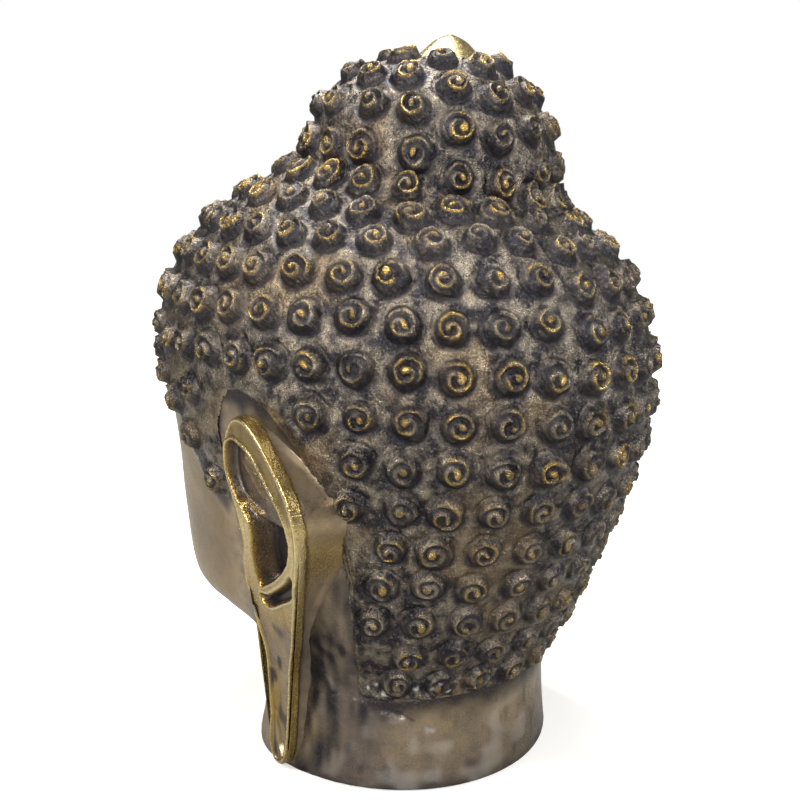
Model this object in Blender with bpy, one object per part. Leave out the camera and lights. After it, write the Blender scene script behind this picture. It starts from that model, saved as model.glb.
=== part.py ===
"""Cast bronze head of a buddha, with snail-shell curls, a bun on the crown and long ear lobes.

The head faces -Y, its left ear is at +X, and it stands on the flat cut of its neck at Z = 0.
"""
import math

import bpy
import bmesh
import numpy as np
from mathutils.geometry import delaunay_2d_cdt

# Overall size. Everything else is a proportion of it, counted in U, which is about a millimetre
HEIGHT = 0.300
U = HEIGHT / 300

# Curls
CURL_PITCH = 17.0 * U
CURL_ROW = 16.3 * U
CURL_RADIUS = 6.7 * U
CURL_HEIGHT = 4.8 * U
CURL_TOP = 0.52
CURL_SIDES = 6
CURL_CLEARANCE = 0.8 * U
HAIR_THICKNESS = 2.0 * U
NAPE_ROW = 48 * U

# Neck
NECK_SIDES = 44
NECK_RINGS = (9 * U, 21 * U, 32 * U)

# Jewel on top
JEWEL_SIDES = 10

# Levels of the bare head, from the neck's cut to the top of the jewel: height, half width, depth to the back and
# to the front from the level's own centre, the centre's place along Y, how far the level leans down at the back
# in degrees, and how full its front is (2 is an ellipse)
LEVELS = np.array([
    (0, 70.5, 70, 50, 0, 0, 1.8),
    (20, 69, 67, 47.5, 0, 0, 1.75),
    (38, 69, 65, 47.5, 0, 0, 1.75),
    (48, 70, 67, 51, 0, 0, 1.8),
    (56, 73, 71, 56, 0, 0, 1.9),
    (63, 76.5, 74.5, 67, 0, 0, 2.1),
    (70, 79, 77.5, 84, 0, 0, 2.3),
    (77, 80.3, 80, 95.5, 0, 0, 2.4),
    (86, 81.3, 83.5, 101, 0, 0, 2.45),
    (105, 84, 91.5, 104.5, 0, 0, 2.45),
    (120, 87.5, 96, 105, 0, 0, 2.4),
    (135, 92, 100.5, 106, 0, 0, 2.3),
    (150, 95.5, 103.5, 107, -1, 0, 2.25),
    (165, 97, 105, 108, -2, 0, 2.2),
    (180, 97, 105, 107, -4, 0, 2.2),
    (195, 94, 102, 102.5, -6, 0, 2.15),
    (210, 87.5, 95.5, 94, -8, 0, 2.1),
    (222, 78.5, 86.5, 80, -9, 2, 2.05),
    (232, 66.5, 75, 63, -8, 4, 2.0),
    (239, 57.5, 62.5, 52, -2, 7, 2.0),
    (244, 52, 52.5, 51, 5, 9, 2.0),
    (251, 49.8, 49, 49, 7.3, 9, 2.0),
    (262, 48, 47, 47, 8.6, 9, 2.0),
    (271, 43.2, 42.7, 42.7, 10, 9, 2.0),
    (278.5, 36, 35.7, 35.7, 11.6, 8, 2.0),
    (283.8, 27.3, 27.3, 27.3, 12.8, 6, 2.0),
    (286.8, 19.6, 19.6, 19.6, 13.8, 3, 2.0),
    (289.3, 15.2, 15.2, 15.2, 14, 0, 2.0),
    (293, 10.9, 10.9, 10.9, 14, 0, 2.0),
    (297, 6.4, 6.4, 6.4, 14, 0, 2.0),
    (300, 0, 0, 0, 14, 0, 2.0),
])
TILT_COLUMN = 5
# How far the front of the face hangs below a level's own height, so that the jaw rises to the ears: height, drop
JAW_DROP = np.array([(40, 0), (56, 7), (66, 15), (77, 20), (86, 19.5), (105, 13), (120, 8), (135, 3.5), (152, 0)])
PLACE_STEPS = 24

# Lower edge of the hair on the left side: angle from the back of the head in degrees, and height
HAIRLINE = np.array([
    (0, 39.5), (40, 39.5), (49, 38.5), (54.5, 40.5), (57, 45), (57, 78), (58, 95), (60, 108), (63, 122), (65.5, 135),
    (68, 147),
    (74, 158), (82, 162), (90, 162), (94, 150), (97, 119), (101, 114.5), (107, 117), (111, 131), (116, 144),
    (124, 155), (136, 167), (155, 177), (180, 181),
])

# Ears, seen from the side: Y and Z of points round the left ear's edge, from its top backwards and down
EAR_EDGE = np.array([
    (5, 151), (13, 152.5), (22, 148.5), (31, 141), (39, 132), (44, 121), (43.5, 110), (40.5, 101), (35.5, 90),
    (29, 76), (23, 62), (18, 48), (16.5, 36), (15.5, 22), (13.5, 9), (9.5, 2.4), (4, 2.4), (0.5, 8), (0, 22),
    (-1, 36), (-2.5, 50), (-6, 62), (-7.5, 76), (-5, 89), (0.5, 101), (0, 112), (-3, 121), (-4.5, 131), (-2, 143),
])
# The ear's outer side: height and X. It also turns outwards towards the back
EAR_SIDE = np.array([
    (0, 75.5), (30, 76), (50, 77.5), (65, 80.5), (80, 84.5), (100, 90.5), (120, 95), (135, 97.5), (160, 100.5),
])
EAR_FLARE = 0.12
EAR_MIDDLE = 20 * U
EAR_SIDES = 38
EAR_FOOT = 1.4 * U
EAR_BUTTRESS = 5.0 * U
BUTTRESS_Z = 118 * U
BUTTRESS_HALF = 24 * U
EAR_RIM = 4.6
# Hollows in the ear: middle along Y and Z, half length, half width, depth, and the way it runs in degrees from +Y
EAR_HOLLOWS = {
    "upper": (13, 130, 18, 10, 6.5, -42),
    "bowl": (17.5, 99, 18.5, 10.5, 9.5, 35),
    "notch": (19.5, 80.5, 14, 4.4, 5.0, 28),
    "lobe": (8, 15.5, 10, 3.1, 3.2, -70),
}

# Where the hair's front edge starts at the temple, in degrees from the back
FRONT_EDGE_START = 102
# Rows of curls: the crown's last one, and the bun's, by height or by steps along the surface
CROWN_ROW = 232.5 * U
BUN_ROW = 251 * U
BUN_ROW_STEP = 14.8 * U
BUN_ROWS = 4
SLOPE_ROW = 241 * U
COLUMN_START = math.radians(15)
CURL_SHIFT = 0.9 * U
CURL_SEED = 5
SMALLEST_CURL = 0.8
# Curls nearer to each other than the pitch are pushed apart in small steps
NEAREST_START = 0.58
PUSH_STEPS = 40
PUSH_SHARE = 0.2

# Face, in U. The nose: heights along its ridge with how far it stands out there, and with its half width
NOSE_RIDGE = np.array([
    (97.5, 0), (99, 3), (101.5, 15), (105, 21.5), (108, 22), (116, 18.5), (128, 12.5), (137, 8.2), (145, 4.2),
    (156, 0),
])
NOSE_WIDTH = np.array([(97, 8.5), (105, 10.5), (112, 8.6), (128, 6.2), (140, 6.8), (156, 12)])
# Brows: their top's place, how wide they bend, how far they stand out, half width and outer end
BROW_TOP = 148
BROW_X = 33
BROW_BEND = 8.4
BROW_DEPTH = 2.6
BROW_WIDTH = 3.4
BROW_END = 72
FOREHEAD_DEPTH = 1.2
FOREHEAD_TOP = 176
# Eyes: middle, half length of the slit, the eyeball's half width, half height and depth, the slit and the lids
EYE_X = 32
EYE_Z = 127
EYE_HALF = 18.5
EYE_BALL = (21, 11, 8.2)
SLIT_DROP = 4.6
SLIT_BEND = 8.2
SLIT_DEPTH = 1.6
UPPER_LID = 1.5
LOWER_LID = 1.0
LID_CREASE = 0.9
# Mouth: height, how wide its line bends, half width, and each lip's offset from the line, half height and depth
MOUTH_Z = 86
MOUTH_BEND = 12
MOUTH_HALF = 25.5
UPPER_LIP = (3.2, 2.9, 4.6)
LOWER_LIP = (-4.4, 3.8, 6.0)
LOWER_LIP_HALF = 20.5
LIP_PARTING = (1.1, 3.4)
# Soft swellings and hollows of the face: X and Z of the middle, half width, half height, and how far it stands out
FACE_SWELLS = {
    "wing of the nose": (12.6, 104.5, 5, 5, 10),
    "eye socket": (27, 133, 20, 7, -5),
    "inner corner of the eye": (16, 128, 6.5, 9, -3),
    "mound of the mouth": (0, 86, 27, 15, 5),
    "corner of the mouth": (26, 90.5, 3.4, 3, -2),
    "groove under the nose": (0, 96, 2.4, 3.6, -1.2),
    "chin": (0, 65, 18, 10, 7),
    "hollow over the chin": (0, 75.5, 14, 2.8, -1.8),
    "cheek": (43, 104, 23, 20, 4),
    "fold beside the nose": (21, 98, 4, 9, -1),
}
# Where the face's points lie: up the nose, as shares of its half width, round its wings, along the slit of the eye
# and over and under it, along the brow, along the mouth and over and under its line, and on the lip and the chin
NOSE_STATIONS = (98.5, 101.5, 105, 109, 115, 121, 128, 135, 142)
NOSE_SHARES = (0, 0.72, 1.35)
WING_PLACES = ((17.5, 104.5), (14.5, 99), (8, 97), (15.5, 110))
EYE_STATIONS = 7
EYE_LEVELS = (-0.2, 1.6, -4.2, 6.5, 10.5)
BROW_STATIONS = (9, 16, 24, 33, 42, 51, 60)
BROW_LEVELS = (0, -5)
MOUTH_SHARES = (0, 0.2, 0.47, 0.75, 1)
MOUTH_LEVELS = (0, 3.3, -4.4)
CHIN_LEVELS = (93.5, 77.3, 66, 57)
CHIN_SHARES = (0, 0.3, 0.6)
FACE_NET = 8
FACE_BOTTOM = 44
FACE_TOP = 180
FACE_WIDTH = 84
FACE_GAP = 5.2
FEATURE_GAP = 1.65
SIDE_NET = 15 * U
JEWEL_RINGS = (290.5 * U, 293.5 * U, 297.5 * U)


def smooth_curve(x, xs, ys):
    """Cubic through the points (xs, ys) with no overshoot where they turn."""
    xs = np.asarray(xs, float)
    ys = np.asarray(ys, float)
    x = np.clip(x, xs[0], xs[-1])
    gaps = np.diff(xs)
    slopes = np.diff(ys) / gaps
    tangents = np.zeros(len(xs))
    tangents[1:-1] = np.where(slopes[:-1] * slopes[1:] > 0, (slopes[:-1] + slopes[1:]) / 2, 0)
    limit = 3 * np.minimum(np.abs(slopes[:-1]), np.abs(slopes[1:]))
    tangents[1:-1] = np.sign(tangents[1:-1]) * np.minimum(np.abs(tangents[1:-1]), limit)
    tangents[0] = slopes[0]
    tangents[-1] = slopes[-1]
    i = np.clip(np.searchsorted(xs, x, side="right") - 1, 0, len(xs) - 2)
    s = (x - xs[i]) / gaps[i]
    return (
        ys[i] * (1 + 2 * s) * (1 - s) ** 2
        + tangents[i] * gaps[i] * s * (1 - s) ** 2
        + ys[i + 1] * s * s * (3 - 2 * s)
        - tangents[i + 1] * gaps[i] * s * s * (1 - s)
    )


def smooth_step(x):
    x = np.clip(x, 0, 1)
    return x * x * (3 - 2 * x)


def bump(x, z, cx, cz, rx, rz):
    """Soft round swelling of height 1 about (cx, cz)."""
    return np.exp(-(((x - cx) / rx) ** 2) - ((z - cz) / rz) ** 2)


class Skin:
    """The bare head. A point on it has an angle from the back of the head and a run, the way along the head's
    outline from the neck's cut up to the jewel's tip."""

    def __init__(self):
        self.table = LEVELS.copy()
        self.table[:, :5] *= U
        self.table[:, TILT_COLUMN] = np.tan(np.radians(self.table[:, TILT_COLUMN]))
        radii = (self.table[:, 1] + self.table[:, 2]) / 2
        steps = np.hypot(np.diff(self.table[:, 0]), np.diff(radii))
        self.runs = np.concatenate([[0], np.cumsum(steps)])
        fine = np.linspace(0, self.runs[-1], 4001)
        fine_radii = np.maximum(smooth_curve(fine, self.runs, radii), 0.05 * U)
        turns = np.concatenate([[0], np.cumsum(np.diff(fine) / ((fine_radii[1:] + fine_radii[:-1]) / 2))])
        self.fine = fine
        self.turns = turns
        self.heights = smooth_curve(fine, self.runs, self.table[:, 0])

    @property
    def top(self):
        return self.runs[-1]

    def level(self, run):
        return [smooth_curve(run, self.runs, column) for column in self.table.T]

    def radius(self, run):
        return smooth_curve(run, self.runs, (self.table[:, 1] + self.table[:, 2]) / 2)

    def point(self, angle, run):
        """Places on the bare skin, with no hair, face or ears."""
        z, half, back, front, centre, tilt, full = self.level(run)
        depth = np.where(np.cos(angle) > 0, back, front)
        power = np.where(np.cos(angle) > 0, 2.0, full)
        half = np.maximum(half, 1e-9)
        depth = np.maximum(depth, 1e-9)
        reach = (np.abs(np.sin(angle) / half) ** power + np.abs(np.cos(angle) / depth) ** power) ** (-1 / power)
        y = reach * np.cos(angle)
        return np.stack([reach * np.sin(angle), centre + y, z - tilt * y - self.drop(z, -y / depth)], -1)

    def drop(self, z, share):
        """How far the face hangs at a share of its depth, 0 at the ears and 1 at the very front."""
        return smooth_curve(z / U, *JAW_DROP.T) * U * smooth_step(share)

    def run_at(self, z):
        return np.interp(z, self.heights, self.fine)

    def place_by_x(self, x, z):
        """Angle and run of the front's point at x and z."""
        level = z
        for _ in range(PLACE_STEPS):
            run = self.run_at(level)
            _, half, _, front, _, _, full = self.level(run)
            share = np.clip(np.abs(x) / half, 0, 1)
            y = -front * (1 - share**full) ** (1 / full)
            level = z + self.drop(level, -y / front)
        return np.arctan2(x, y), run

    def place_by_y(self, y, z):
        """Angle and run of the left side's point at y and z."""
        run = self.run_at(z)
        _, half, back, front, centre, _, full = self.level(run)
        depth = np.where(y > centre, back, front)
        power = np.where(y > centre, 2.0, full)
        share = np.clip(np.abs(y - centre) / depth, 0, 1)
        return np.arctan2(half * (1 - share**power) ** (1 / power), y - centre), run

    def flat(self, angle, run):
        """The point's place in a flat map whose middle is the jewel's tip. It keeps small shapes as they are."""
        distance = np.exp(-np.interp(run, self.fine, self.turns))
        return np.stack([distance * np.sin(angle), distance * np.cos(angle)], -1)


SKIN = Skin()


def hairline(angle):
    turned = np.degrees(np.abs((angle + math.pi) % (2 * math.pi) - math.pi))
    return np.interp(turned, HAIRLINE[:, 0], HAIRLINE[:, 1]) * U


def hair_share(angle, run):
    """0 on bare skin, 1 under the hair."""
    z = SKIN.level(run)[0]
    return smooth_step((z - hairline(angle)) / (2.5 * U) + 0.5) * smooth_step((SKIN.top - 22 * U - run) / (2 * U) + 1)


def clothed(angle, run):
    """Places on the head with its mass of hair, less its curls."""
    p = SKIN.point(angle, run)
    return p + (HAIR_THICKNESS * hair_share(angle, run))[..., None] * outward(angle, run)


def outward(angle, run):
    """Unit normals of the bare skin."""
    da = 1e-3
    dr = 0.5 * U
    low = np.clip(run - dr, 0, SKIN.top)
    high = np.clip(run + dr, 0, SKIN.top)
    across = SKIN.point(angle + da, run) - SKIN.point(angle - da, run)
    up = SKIN.point(angle, high) - SKIN.point(angle, low)
    n = np.cross(up, across)
    return n / np.maximum(np.linalg.norm(n, axis=-1, keepdims=True), 1e-12)


class Curl:
    """One snail-shell curl: its middle's angle and run, how far it is turned and how wide it is."""

    def __init__(self, angle, run, spin, radius):
        self.angle = angle
        self.run = run
        self.spin = spin
        self.radius = radius
        self.middle = clothed(np.float64(angle), np.float64(run))
        self.out = outward(np.float64(angle), np.float64(run))
        self.along = np.array([self.out[1], -self.out[0], 0.0])
        self.along /= np.linalg.norm(self.along)
        self.up = np.cross(self.along, self.out)
        if self.up[2] < 0:
            self.up = -self.up

    def fits(self):
        """True if the curl lies within the hair and clear of the ears."""
        angles, runs = np.transpose([self.around(0.9, turn) for turn in np.linspace(0, 2 * math.pi, 13)])
        edge = SKIN.point(angles, runs)
        beside = (np.abs(edge[:, 0]) < 60 * U) | (ear_gap(edge[:, 1], edge[:, 2]) > EAR_FOOT + CURL_CLEARANCE)
        return (SKIN.level(runs)[0] > hairline(angles)).all() and beside.all()

    def around(self, share, turn):
        """Angle and run of the point that lies at a share of the curl's radius, in a direction from its middle."""
        reach = share * self.radius
        width = max(float(SKIN.radius(self.run)), 6 * U)
        return self.angle + reach * math.cos(turn) / width, self.run + reach * math.sin(turn)


def front_edge_places():
    """Middles of the curls along the hair's edge, from the temple over the forehead to the other temple."""
    angles = np.radians(np.linspace(FRONT_EDGE_START, 180, 400))
    runs = SKIN.run_at(hairline(angles))
    width = SKIN.radius(runs)
    way = np.stack([np.gradient(angles) * width, np.gradient(runs)], -1)
    way /= np.linalg.norm(way, axis=-1, keepdims=True)
    inset = CURL_RADIUS + CURL_CLEARANCE
    angles = angles - inset * way[:, 1] / width
    runs = runs + inset * way[:, 0]
    p = SKIN.point(angles, runs)
    gone = np.concatenate([[0], np.cumsum(np.linalg.norm(np.diff(p, axis=0), axis=-1))])
    stops = np.linspace(0, gone[-1], round(gone[-1] / CURL_PITCH) + 1)
    left = [(float(np.interp(stop, gone, angles)), float(np.interp(stop, gone, runs))) for stop in stops]
    return left + [(-angle, run) for angle, run in left[:-1]]


def row_places():
    """Middles of the curls in level rows: on the head, on the bun, then on the slope in front of the bun."""
    first = SKIN.run_at(NAPE_ROW)
    last = SKIN.run_at(CROWN_ROW)
    head = np.linspace(first, last, round((last - first) / CURL_ROW) + 1)
    bun = SKIN.run_at(BUN_ROW) + BUN_ROW_STEP * np.arange(BUN_ROWS)
    for run in (*head, *bun, SKIN.run_at(SLOPE_ROW)):
        count = round(2 * math.pi * float(SKIN.radius(run)) / CURL_PITCH)
        for i in range(count):
            yield COLUMN_START + 2 * math.pi * i / count, run


def spread_places():
    """Middles of all the curls, spread so that they keep their distance. The hair's front edge stays as it is."""
    places = front_edge_places()
    fixed = len(places)
    points = list(SKIN.point(*np.transpose(places)))
    for angle, run in row_places():
        p = SKIN.point(angle, run)
        high = SKIN.level(run)[0] > hairline(angle) + CURL_RADIUS / 2
        if high and np.linalg.norm(p - points, axis=-1).min() > NEAREST_START * CURL_PITCH:
            places.append((angle, run))
            points.append(p)
    places = np.array(places)
    for _ in range(PUSH_STEPS):
        angles, runs = places.T
        p = SKIN.point(angles, runs)
        out = outward(angles, runs)
        along = np.stack([out[:, 1], -out[:, 0], 0 * angles], -1)
        along /= np.linalg.norm(along, axis=-1, keepdims=True)
        up = np.cross(along, out)
        up *= np.sign(up[:, 2:])
        apart = p[:, None] - p
        distance = np.linalg.norm(apart, axis=-1) + 1e-9
        push = np.maximum(CURL_PITCH - distance, 0) / distance
        np.fill_diagonal(push, 0)
        move = PUSH_SHARE * (apart * push[..., None]).sum(1)
        turned = (move * along).sum(1)
        step = np.stack([turned / SKIN.radius(runs), (move * up).sum(1)], -1)
        step[:fixed] = 0
        places = places + step
    return places


def make_curls():
    """The curls, the hair's front edge first. One that has too little room is made smaller or left out."""
    chance = np.random.default_rng(CURL_SEED)
    curls = []
    for angle, run in spread_places():
        width = float(SKIN.radius(run))
        angle = angle + chance.uniform(-1, 1) * CURL_SHIFT / width
        run = run + chance.uniform(-1, 1) * CURL_SHIFT
        spin = chance.uniform(0, 2 * math.pi)
        radius = CURL_RADIUS * chance.uniform(0.94, 1.06)
        curl = Curl(angle, run, spin, radius)
        room = [np.linalg.norm(curl.middle - other.middle) - other.radius for other in curls]
        curl.radius = min([radius, *(r - CURL_CLEARANCE for r in room)])
        if curl.radius > SMALLEST_CURL * CURL_RADIUS and curl.fits():
            curls.append(curl)
    return curls


def brow_line(x):
    return BROW_TOP - ((x - BROW_X) / BROW_BEND) ** 2


def slit_line(x):
    return EYE_Z - SLIT_DROP + ((x - EYE_X) / SLIT_BEND) ** 2


def mouth_line(x):
    return MOUTH_Z + (x / MOUTH_BEND) ** 2


def eye_relief(x, z):
    width, height, depth = EYE_BALL
    ball = depth * np.sqrt(np.maximum(0, 1 - ((x - EYE_X) / width) ** 2 - ((z - EYE_Z) / height) ** 2))
    within = smooth_step((EYE_HALF - np.abs(x - EYE_X)) / 4)
    over = z - slit_line(x)
    upper = UPPER_LID * smooth_step(over / 1.2)
    slit = -SLIT_DEPTH * bump(0, over, 0, 0, 1, 0.9)
    lower = LOWER_LID * bump(0, over, 0, -4.2, 1, 1.5)
    crease = -LID_CREASE * bump(0, over, 0, 10.5, 1, 1.2)
    return ball + within * (upper + slit + lower + crease)


def mouth_relief(x, z):
    over = z - mouth_line(x)
    wide = np.maximum(0, 1 - (x / MOUTH_HALF) ** 2)
    bow = 1 - 0.28 * bump(x, 0, 0, 0, 2.6, 1)
    offset, height, depth = UPPER_LIP
    upper = depth * wide**0.6 * bow * bump(0, over, 0, offset, 1, height)
    offset, height, depth = LOWER_LIP
    lower = depth * np.maximum(0, 1 - (x / LOWER_LIP_HALF) ** 2) ** 0.6 * bump(0, over, 0, offset, 1, height)
    height, depth = LIP_PARTING
    return upper + lower - depth * wide**0.5 * bump(0, over, 0, 0, 1, height)


def face_relief(x, z):
    """How far the face stands out towards the front, over the bare skin. x and z are in units of U."""
    x = np.abs(x)
    relief = smooth_curve(z, *NOSE_RIDGE.T) * np.exp(-((x / smooth_curve(z, *NOSE_WIDTH.T)) ** 2.6))
    over = z - brow_line(x)
    relief += BROW_DEPTH * bump(0, over, 0, 0, 1, BROW_WIDTH) * smooth_step((BROW_END - x) / 14)
    relief += FOREHEAD_DEPTH * smooth_step(over / 10) * smooth_step((FOREHEAD_TOP - z) / 14) * bump(x, 0, 0, 0, 50, 1)
    for cx, cz, width, height, depth in FACE_SWELLS.values():
        relief += depth * bump(x, z, cx, cz, width, height)
    return relief + eye_relief(x, z) + mouth_relief(x, z)


def make_ear_edge():
    """Places close together along the ear's edge, Y and Z, with the edge's outward directions there."""
    closed = np.concatenate([EAR_EDGE[-2:], EAR_EDGE, EAR_EDGE[:3]]) * U
    way = np.concatenate([[0], np.cumsum(np.linalg.norm(np.diff(closed, axis=0), axis=-1))])
    fine = np.linspace(way[2], way[-3], 720, endpoint=False)
    tangents = (closed[2:] - closed[:-2]) / (way[2:] - way[:-2])[:, None]
    i = np.searchsorted(way, fine, side="right") - 1
    gap = (way[i + 1] - way[i])[:, None]
    s = (fine - way[i])[:, None] / gap
    p = (
        closed[i] * (1 + 2 * s) * (1 - s) ** 2
        + tangents[i - 1] * gap * s * (1 - s) ** 2
        + closed[i + 1] * s * s * (3 - 2 * s)
        - tangents[i] * gap * s * s * (1 - s)
    )
    along = np.roll(p, -1, axis=0) - np.roll(p, 1, axis=0)
    along /= np.linalg.norm(along, axis=-1, keepdims=True)
    return p, np.stack([-along[:, 1], along[:, 0]], -1)


EAR_LINE, EAR_NORMALS = make_ear_edge()


def ear_gap(y, z):
    """Distance from the ear's edge, seen from the side: above 0 outside it."""
    p = np.stack([y, z], -1)[..., None, :] - EAR_LINE
    distance = np.linalg.norm(p, axis=-1)
    nearest = distance.argmin(-1)
    side = np.take_along_axis((p * EAR_NORMALS).sum(-1), nearest[..., None], -1)[..., 0]
    return np.sign(side) * distance.min(-1)


def hollow_shape(y, z, hollow):
    """Place in a hollow, 0 at its middle and 1 at its edge."""
    cy, cz, length, width, _, turn = hollow
    c, s = math.cos(math.radians(turn)), math.sin(math.radians(turn))
    along = (y / U - cy) * c + (z / U - cz) * s
    across = (z / U - cz) * c - (y / U - cy) * s
    return np.hypot(along / length, across / width)


def ear_side(y, z):
    """X of the smooth surface that the left ear's outer side lies in."""
    return smooth_curve(z / U, *EAR_SIDE.T) * U + EAR_FLARE * (y - EAR_MIDDLE)


def ear_foot():
    """Places round the ear where its wall meets the head. The wall spreads behind the ear's upper half."""
    spread = np.maximum(0, EAR_NORMALS[:, 0]) * bump(0, EAR_LINE[:, 1], 0, BUTTRESS_Z, 1, BUTTRESS_HALF)
    return EAR_LINE + (EAR_FOOT + EAR_BUTTRESS * spread)[:, None] * EAR_NORMALS


def ear_surface(y, z):
    """The left ear's outer side: X at places seen from the side."""
    inside = -ear_gap(y, z) / U
    relief = -1.4 * np.exp(-np.maximum(inside, 0) / 0.9)
    relief -= 2.2 * smooth_step((inside - EAR_RIM) / 2.2) * smooth_step((z / U - 72) / 8)
    for hollow in EAR_HOLLOWS.values():
        relief -= hollow[4] * smooth_step((1 - hollow_shape(y, z, hollow)) / 0.5)
    return ear_side(y, z) + relief * U


class Sheet:
    """The head's points, each with its place in the flat map, where the nearest points become neighbours."""

    def __init__(self):
        self.places = []
        self.points = []
        self.edges = []

    def add(self, places, points, closed=False):
        first = len(self.places)
        self.places += [tuple(p) for p in np.reshape(places, (-1, 2))]
        self.points += [tuple(p) for p in np.reshape(points, (-1, 3))]
        count = len(self.places) - first
        if closed:
            self.edges += [(first + i, first + (i + 1) % count) for i in range(count)]

    def mesh(self, name, base_count):
        """One closed surface: the map's triangles and the flat base inside its first points."""
        faces = delaunay_2d_cdt(self.places, self.edges, [], 0, 1e-9, True)
        corners = [ids[0] for ids in faces[3]]
        if sorted(corners) != list(range(len(self.places))):
            raise ValueError("two edges cross in the flat map")
        mesh = bpy.data.meshes.new(name)
        triangles = [tuple(corners[i] for i in face) for face in faces[2]]
        mesh.from_pydata(self.points, [], triangles + [tuple(range(base_count))])
        work = bmesh.new()
        work.from_mesh(mesh)
        bmesh.ops.recalc_face_normals(work, faces=work.faces)
        work.to_mesh(mesh)
        work.free()
        return mesh


def add_rings(sheet):
    """The neck's rings from its flat cut up, and the jewel."""
    angles = np.linspace(0, 2 * math.pi, NECK_SIDES, endpoint=False)
    sheet.add(SKIN.flat(angles, 0 * angles), SKIN.point(angles, 0 * angles), closed=True)
    for k, z in enumerate(NECK_RINGS):
        turned = angles + (k % 2 + 1) * math.pi / NECK_SIDES
        runs = SKIN.run_at(z) + 0 * angles
        p = SKIN.point(turned, runs)
        free = ear_gap(p[:, 1], p[:, 2]) > 4 * U
        sheet.add(SKIN.flat(turned, runs)[free], p[free])
    for k, run in enumerate(SKIN.run_at(np.array(JEWEL_RINGS))):
        turned = np.linspace(0, 2 * math.pi, JEWEL_SIDES, endpoint=False) + k * math.pi / JEWEL_SIDES
        sheet.add(SKIN.flat(turned, run + 0 * turned), SKIN.point(turned, run + 0 * turned))
    sheet.add((0, 0), SKIN.point(np.float64(0), np.float64(SKIN.top)))


def add_curls(sheet, curls):
    """Each curl is a low six-sided button."""
    for curl in curls:
        turns = curl.spin + np.arange(CURL_SIDES) * 2 * math.pi / CURL_SIDES
        for share, lift in ((1, 0), (CURL_TOP, CURL_HEIGHT)):
            angles, runs = np.transpose([curl.around(share, turn) for turn in turns])
            sheet.add(SKIN.flat(angles, runs), clothed(angles, runs) + lift * curl.out)


def add_ears(sheet):
    """Each ear stands out from the head on a steep wall round its edge."""
    stops = np.linspace(0, len(EAR_LINE), EAR_SIDES, endpoint=False).astype(int)
    line, normals = EAR_LINE[stops], EAR_NORMALS[stops]
    foot = ear_foot()[stops]
    edge = line - 0.3 * U * normals
    rim = (line - (EAR_RIM + 0.4) * U * normals)[::2]
    inner = [rim[ear_gap(*rim.T) < -EAR_RIM * U]]
    for hollow in EAR_HOLLOWS.values():
        cy, cz, length, width, _, turn = hollow
        for share, count in ((1.0, 10), (0.5, 6), (0.0, 1)):
            t = np.linspace(0, 2 * math.pi, count, endpoint=False)
            a, b = length * share * np.cos(t), width * share * np.sin(t)
            c, s = math.cos(math.radians(turn)), math.sin(math.radians(turn))
            inner.append(np.stack([cy + a * c - b * s, cz + a * s + b * c], -1) * U)
    inside = []
    for p in np.concatenate(inner[1:] + inner[:1]):
        if ear_gap(*p) < -1.8 * U and all(np.linalg.norm(p - q) > 2.2 * U for q in inside):
            inside.append(p)
    for side in (1, -1):
        mirror = np.array([side, 1, 1])
        for loop, closed in ((foot, True), (edge, True), (np.array(inside), False)):
            y, z = loop.T
            angles, runs = SKIN.place_by_y(y, z)
            x = SKIN.point(angles, runs)[:, 0] if loop is foot else ear_surface(y, z)
            sheet.add(SKIN.flat(side * angles, runs), np.stack([x, y, z], -1) * mirror, closed)


def face_places():
    """X and Z, in U, of the points that carry the face: along its features first, then an even net."""
    places = []
    for z in NOSE_STATIONS:
        width = float(smooth_curve(z, *NOSE_WIDTH.T))
        places += [(share * width, z) for share in NOSE_SHARES]
    places += WING_PLACES
    for x in EYE_X + EYE_HALF * np.linspace(-1, 1, EYE_STATIONS):
        places += [(x, slit_line(x) + level) for level in EYE_LEVELS]
    places += [(x, brow_line(x) + level) for x in BROW_STATIONS for level in BROW_LEVELS]
    for x in MOUTH_HALF * np.array(MOUTH_SHARES):
        places += [(x, mouth_line(x) + level) for level in MOUTH_LEVELS]
    places += [(share * MOUTH_HALF, z) for z in CHIN_LEVELS for share in CHIN_SHARES]
    net = np.mgrid[0:FACE_WIDTH:FACE_NET, FACE_BOTTOM:FACE_TOP:FACE_NET].reshape(2, -1).T
    kept = []
    for gap, candidates in ((FEATURE_GAP, places), (FACE_GAP, net)):
        for x, z in candidates:
            if all(math.hypot(x - a, z - b) > gap for a, b in kept):
                kept.append((float(x), float(z)))
    return np.array(kept + [(-x, z) for x, z in kept if x > 0.1])


def add_face(sheet, curls):
    x, z = face_places().T
    angles, runs = SKIN.place_by_x(x * U, z * U)
    p = clothed(angles, runs)
    p[:, 1] -= face_relief(x, z) * U
    middles = np.array([c.middle for c in curls])
    reach = np.array([c.radius for c in curls])
    free = (np.linalg.norm(SKIN.point(angles, runs)[:, None] - middles, axis=-1) > reach * 1.25).all(1)
    free &= ear_gap(p[:, 1], p[:, 2]) > EAR_FOOT + 3 * U
    free &= np.abs(x * U) < 0.93 * SKIN.level(runs)[1]
    sheet.add(SKIN.flat(angles, runs)[free], p[free])


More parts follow.
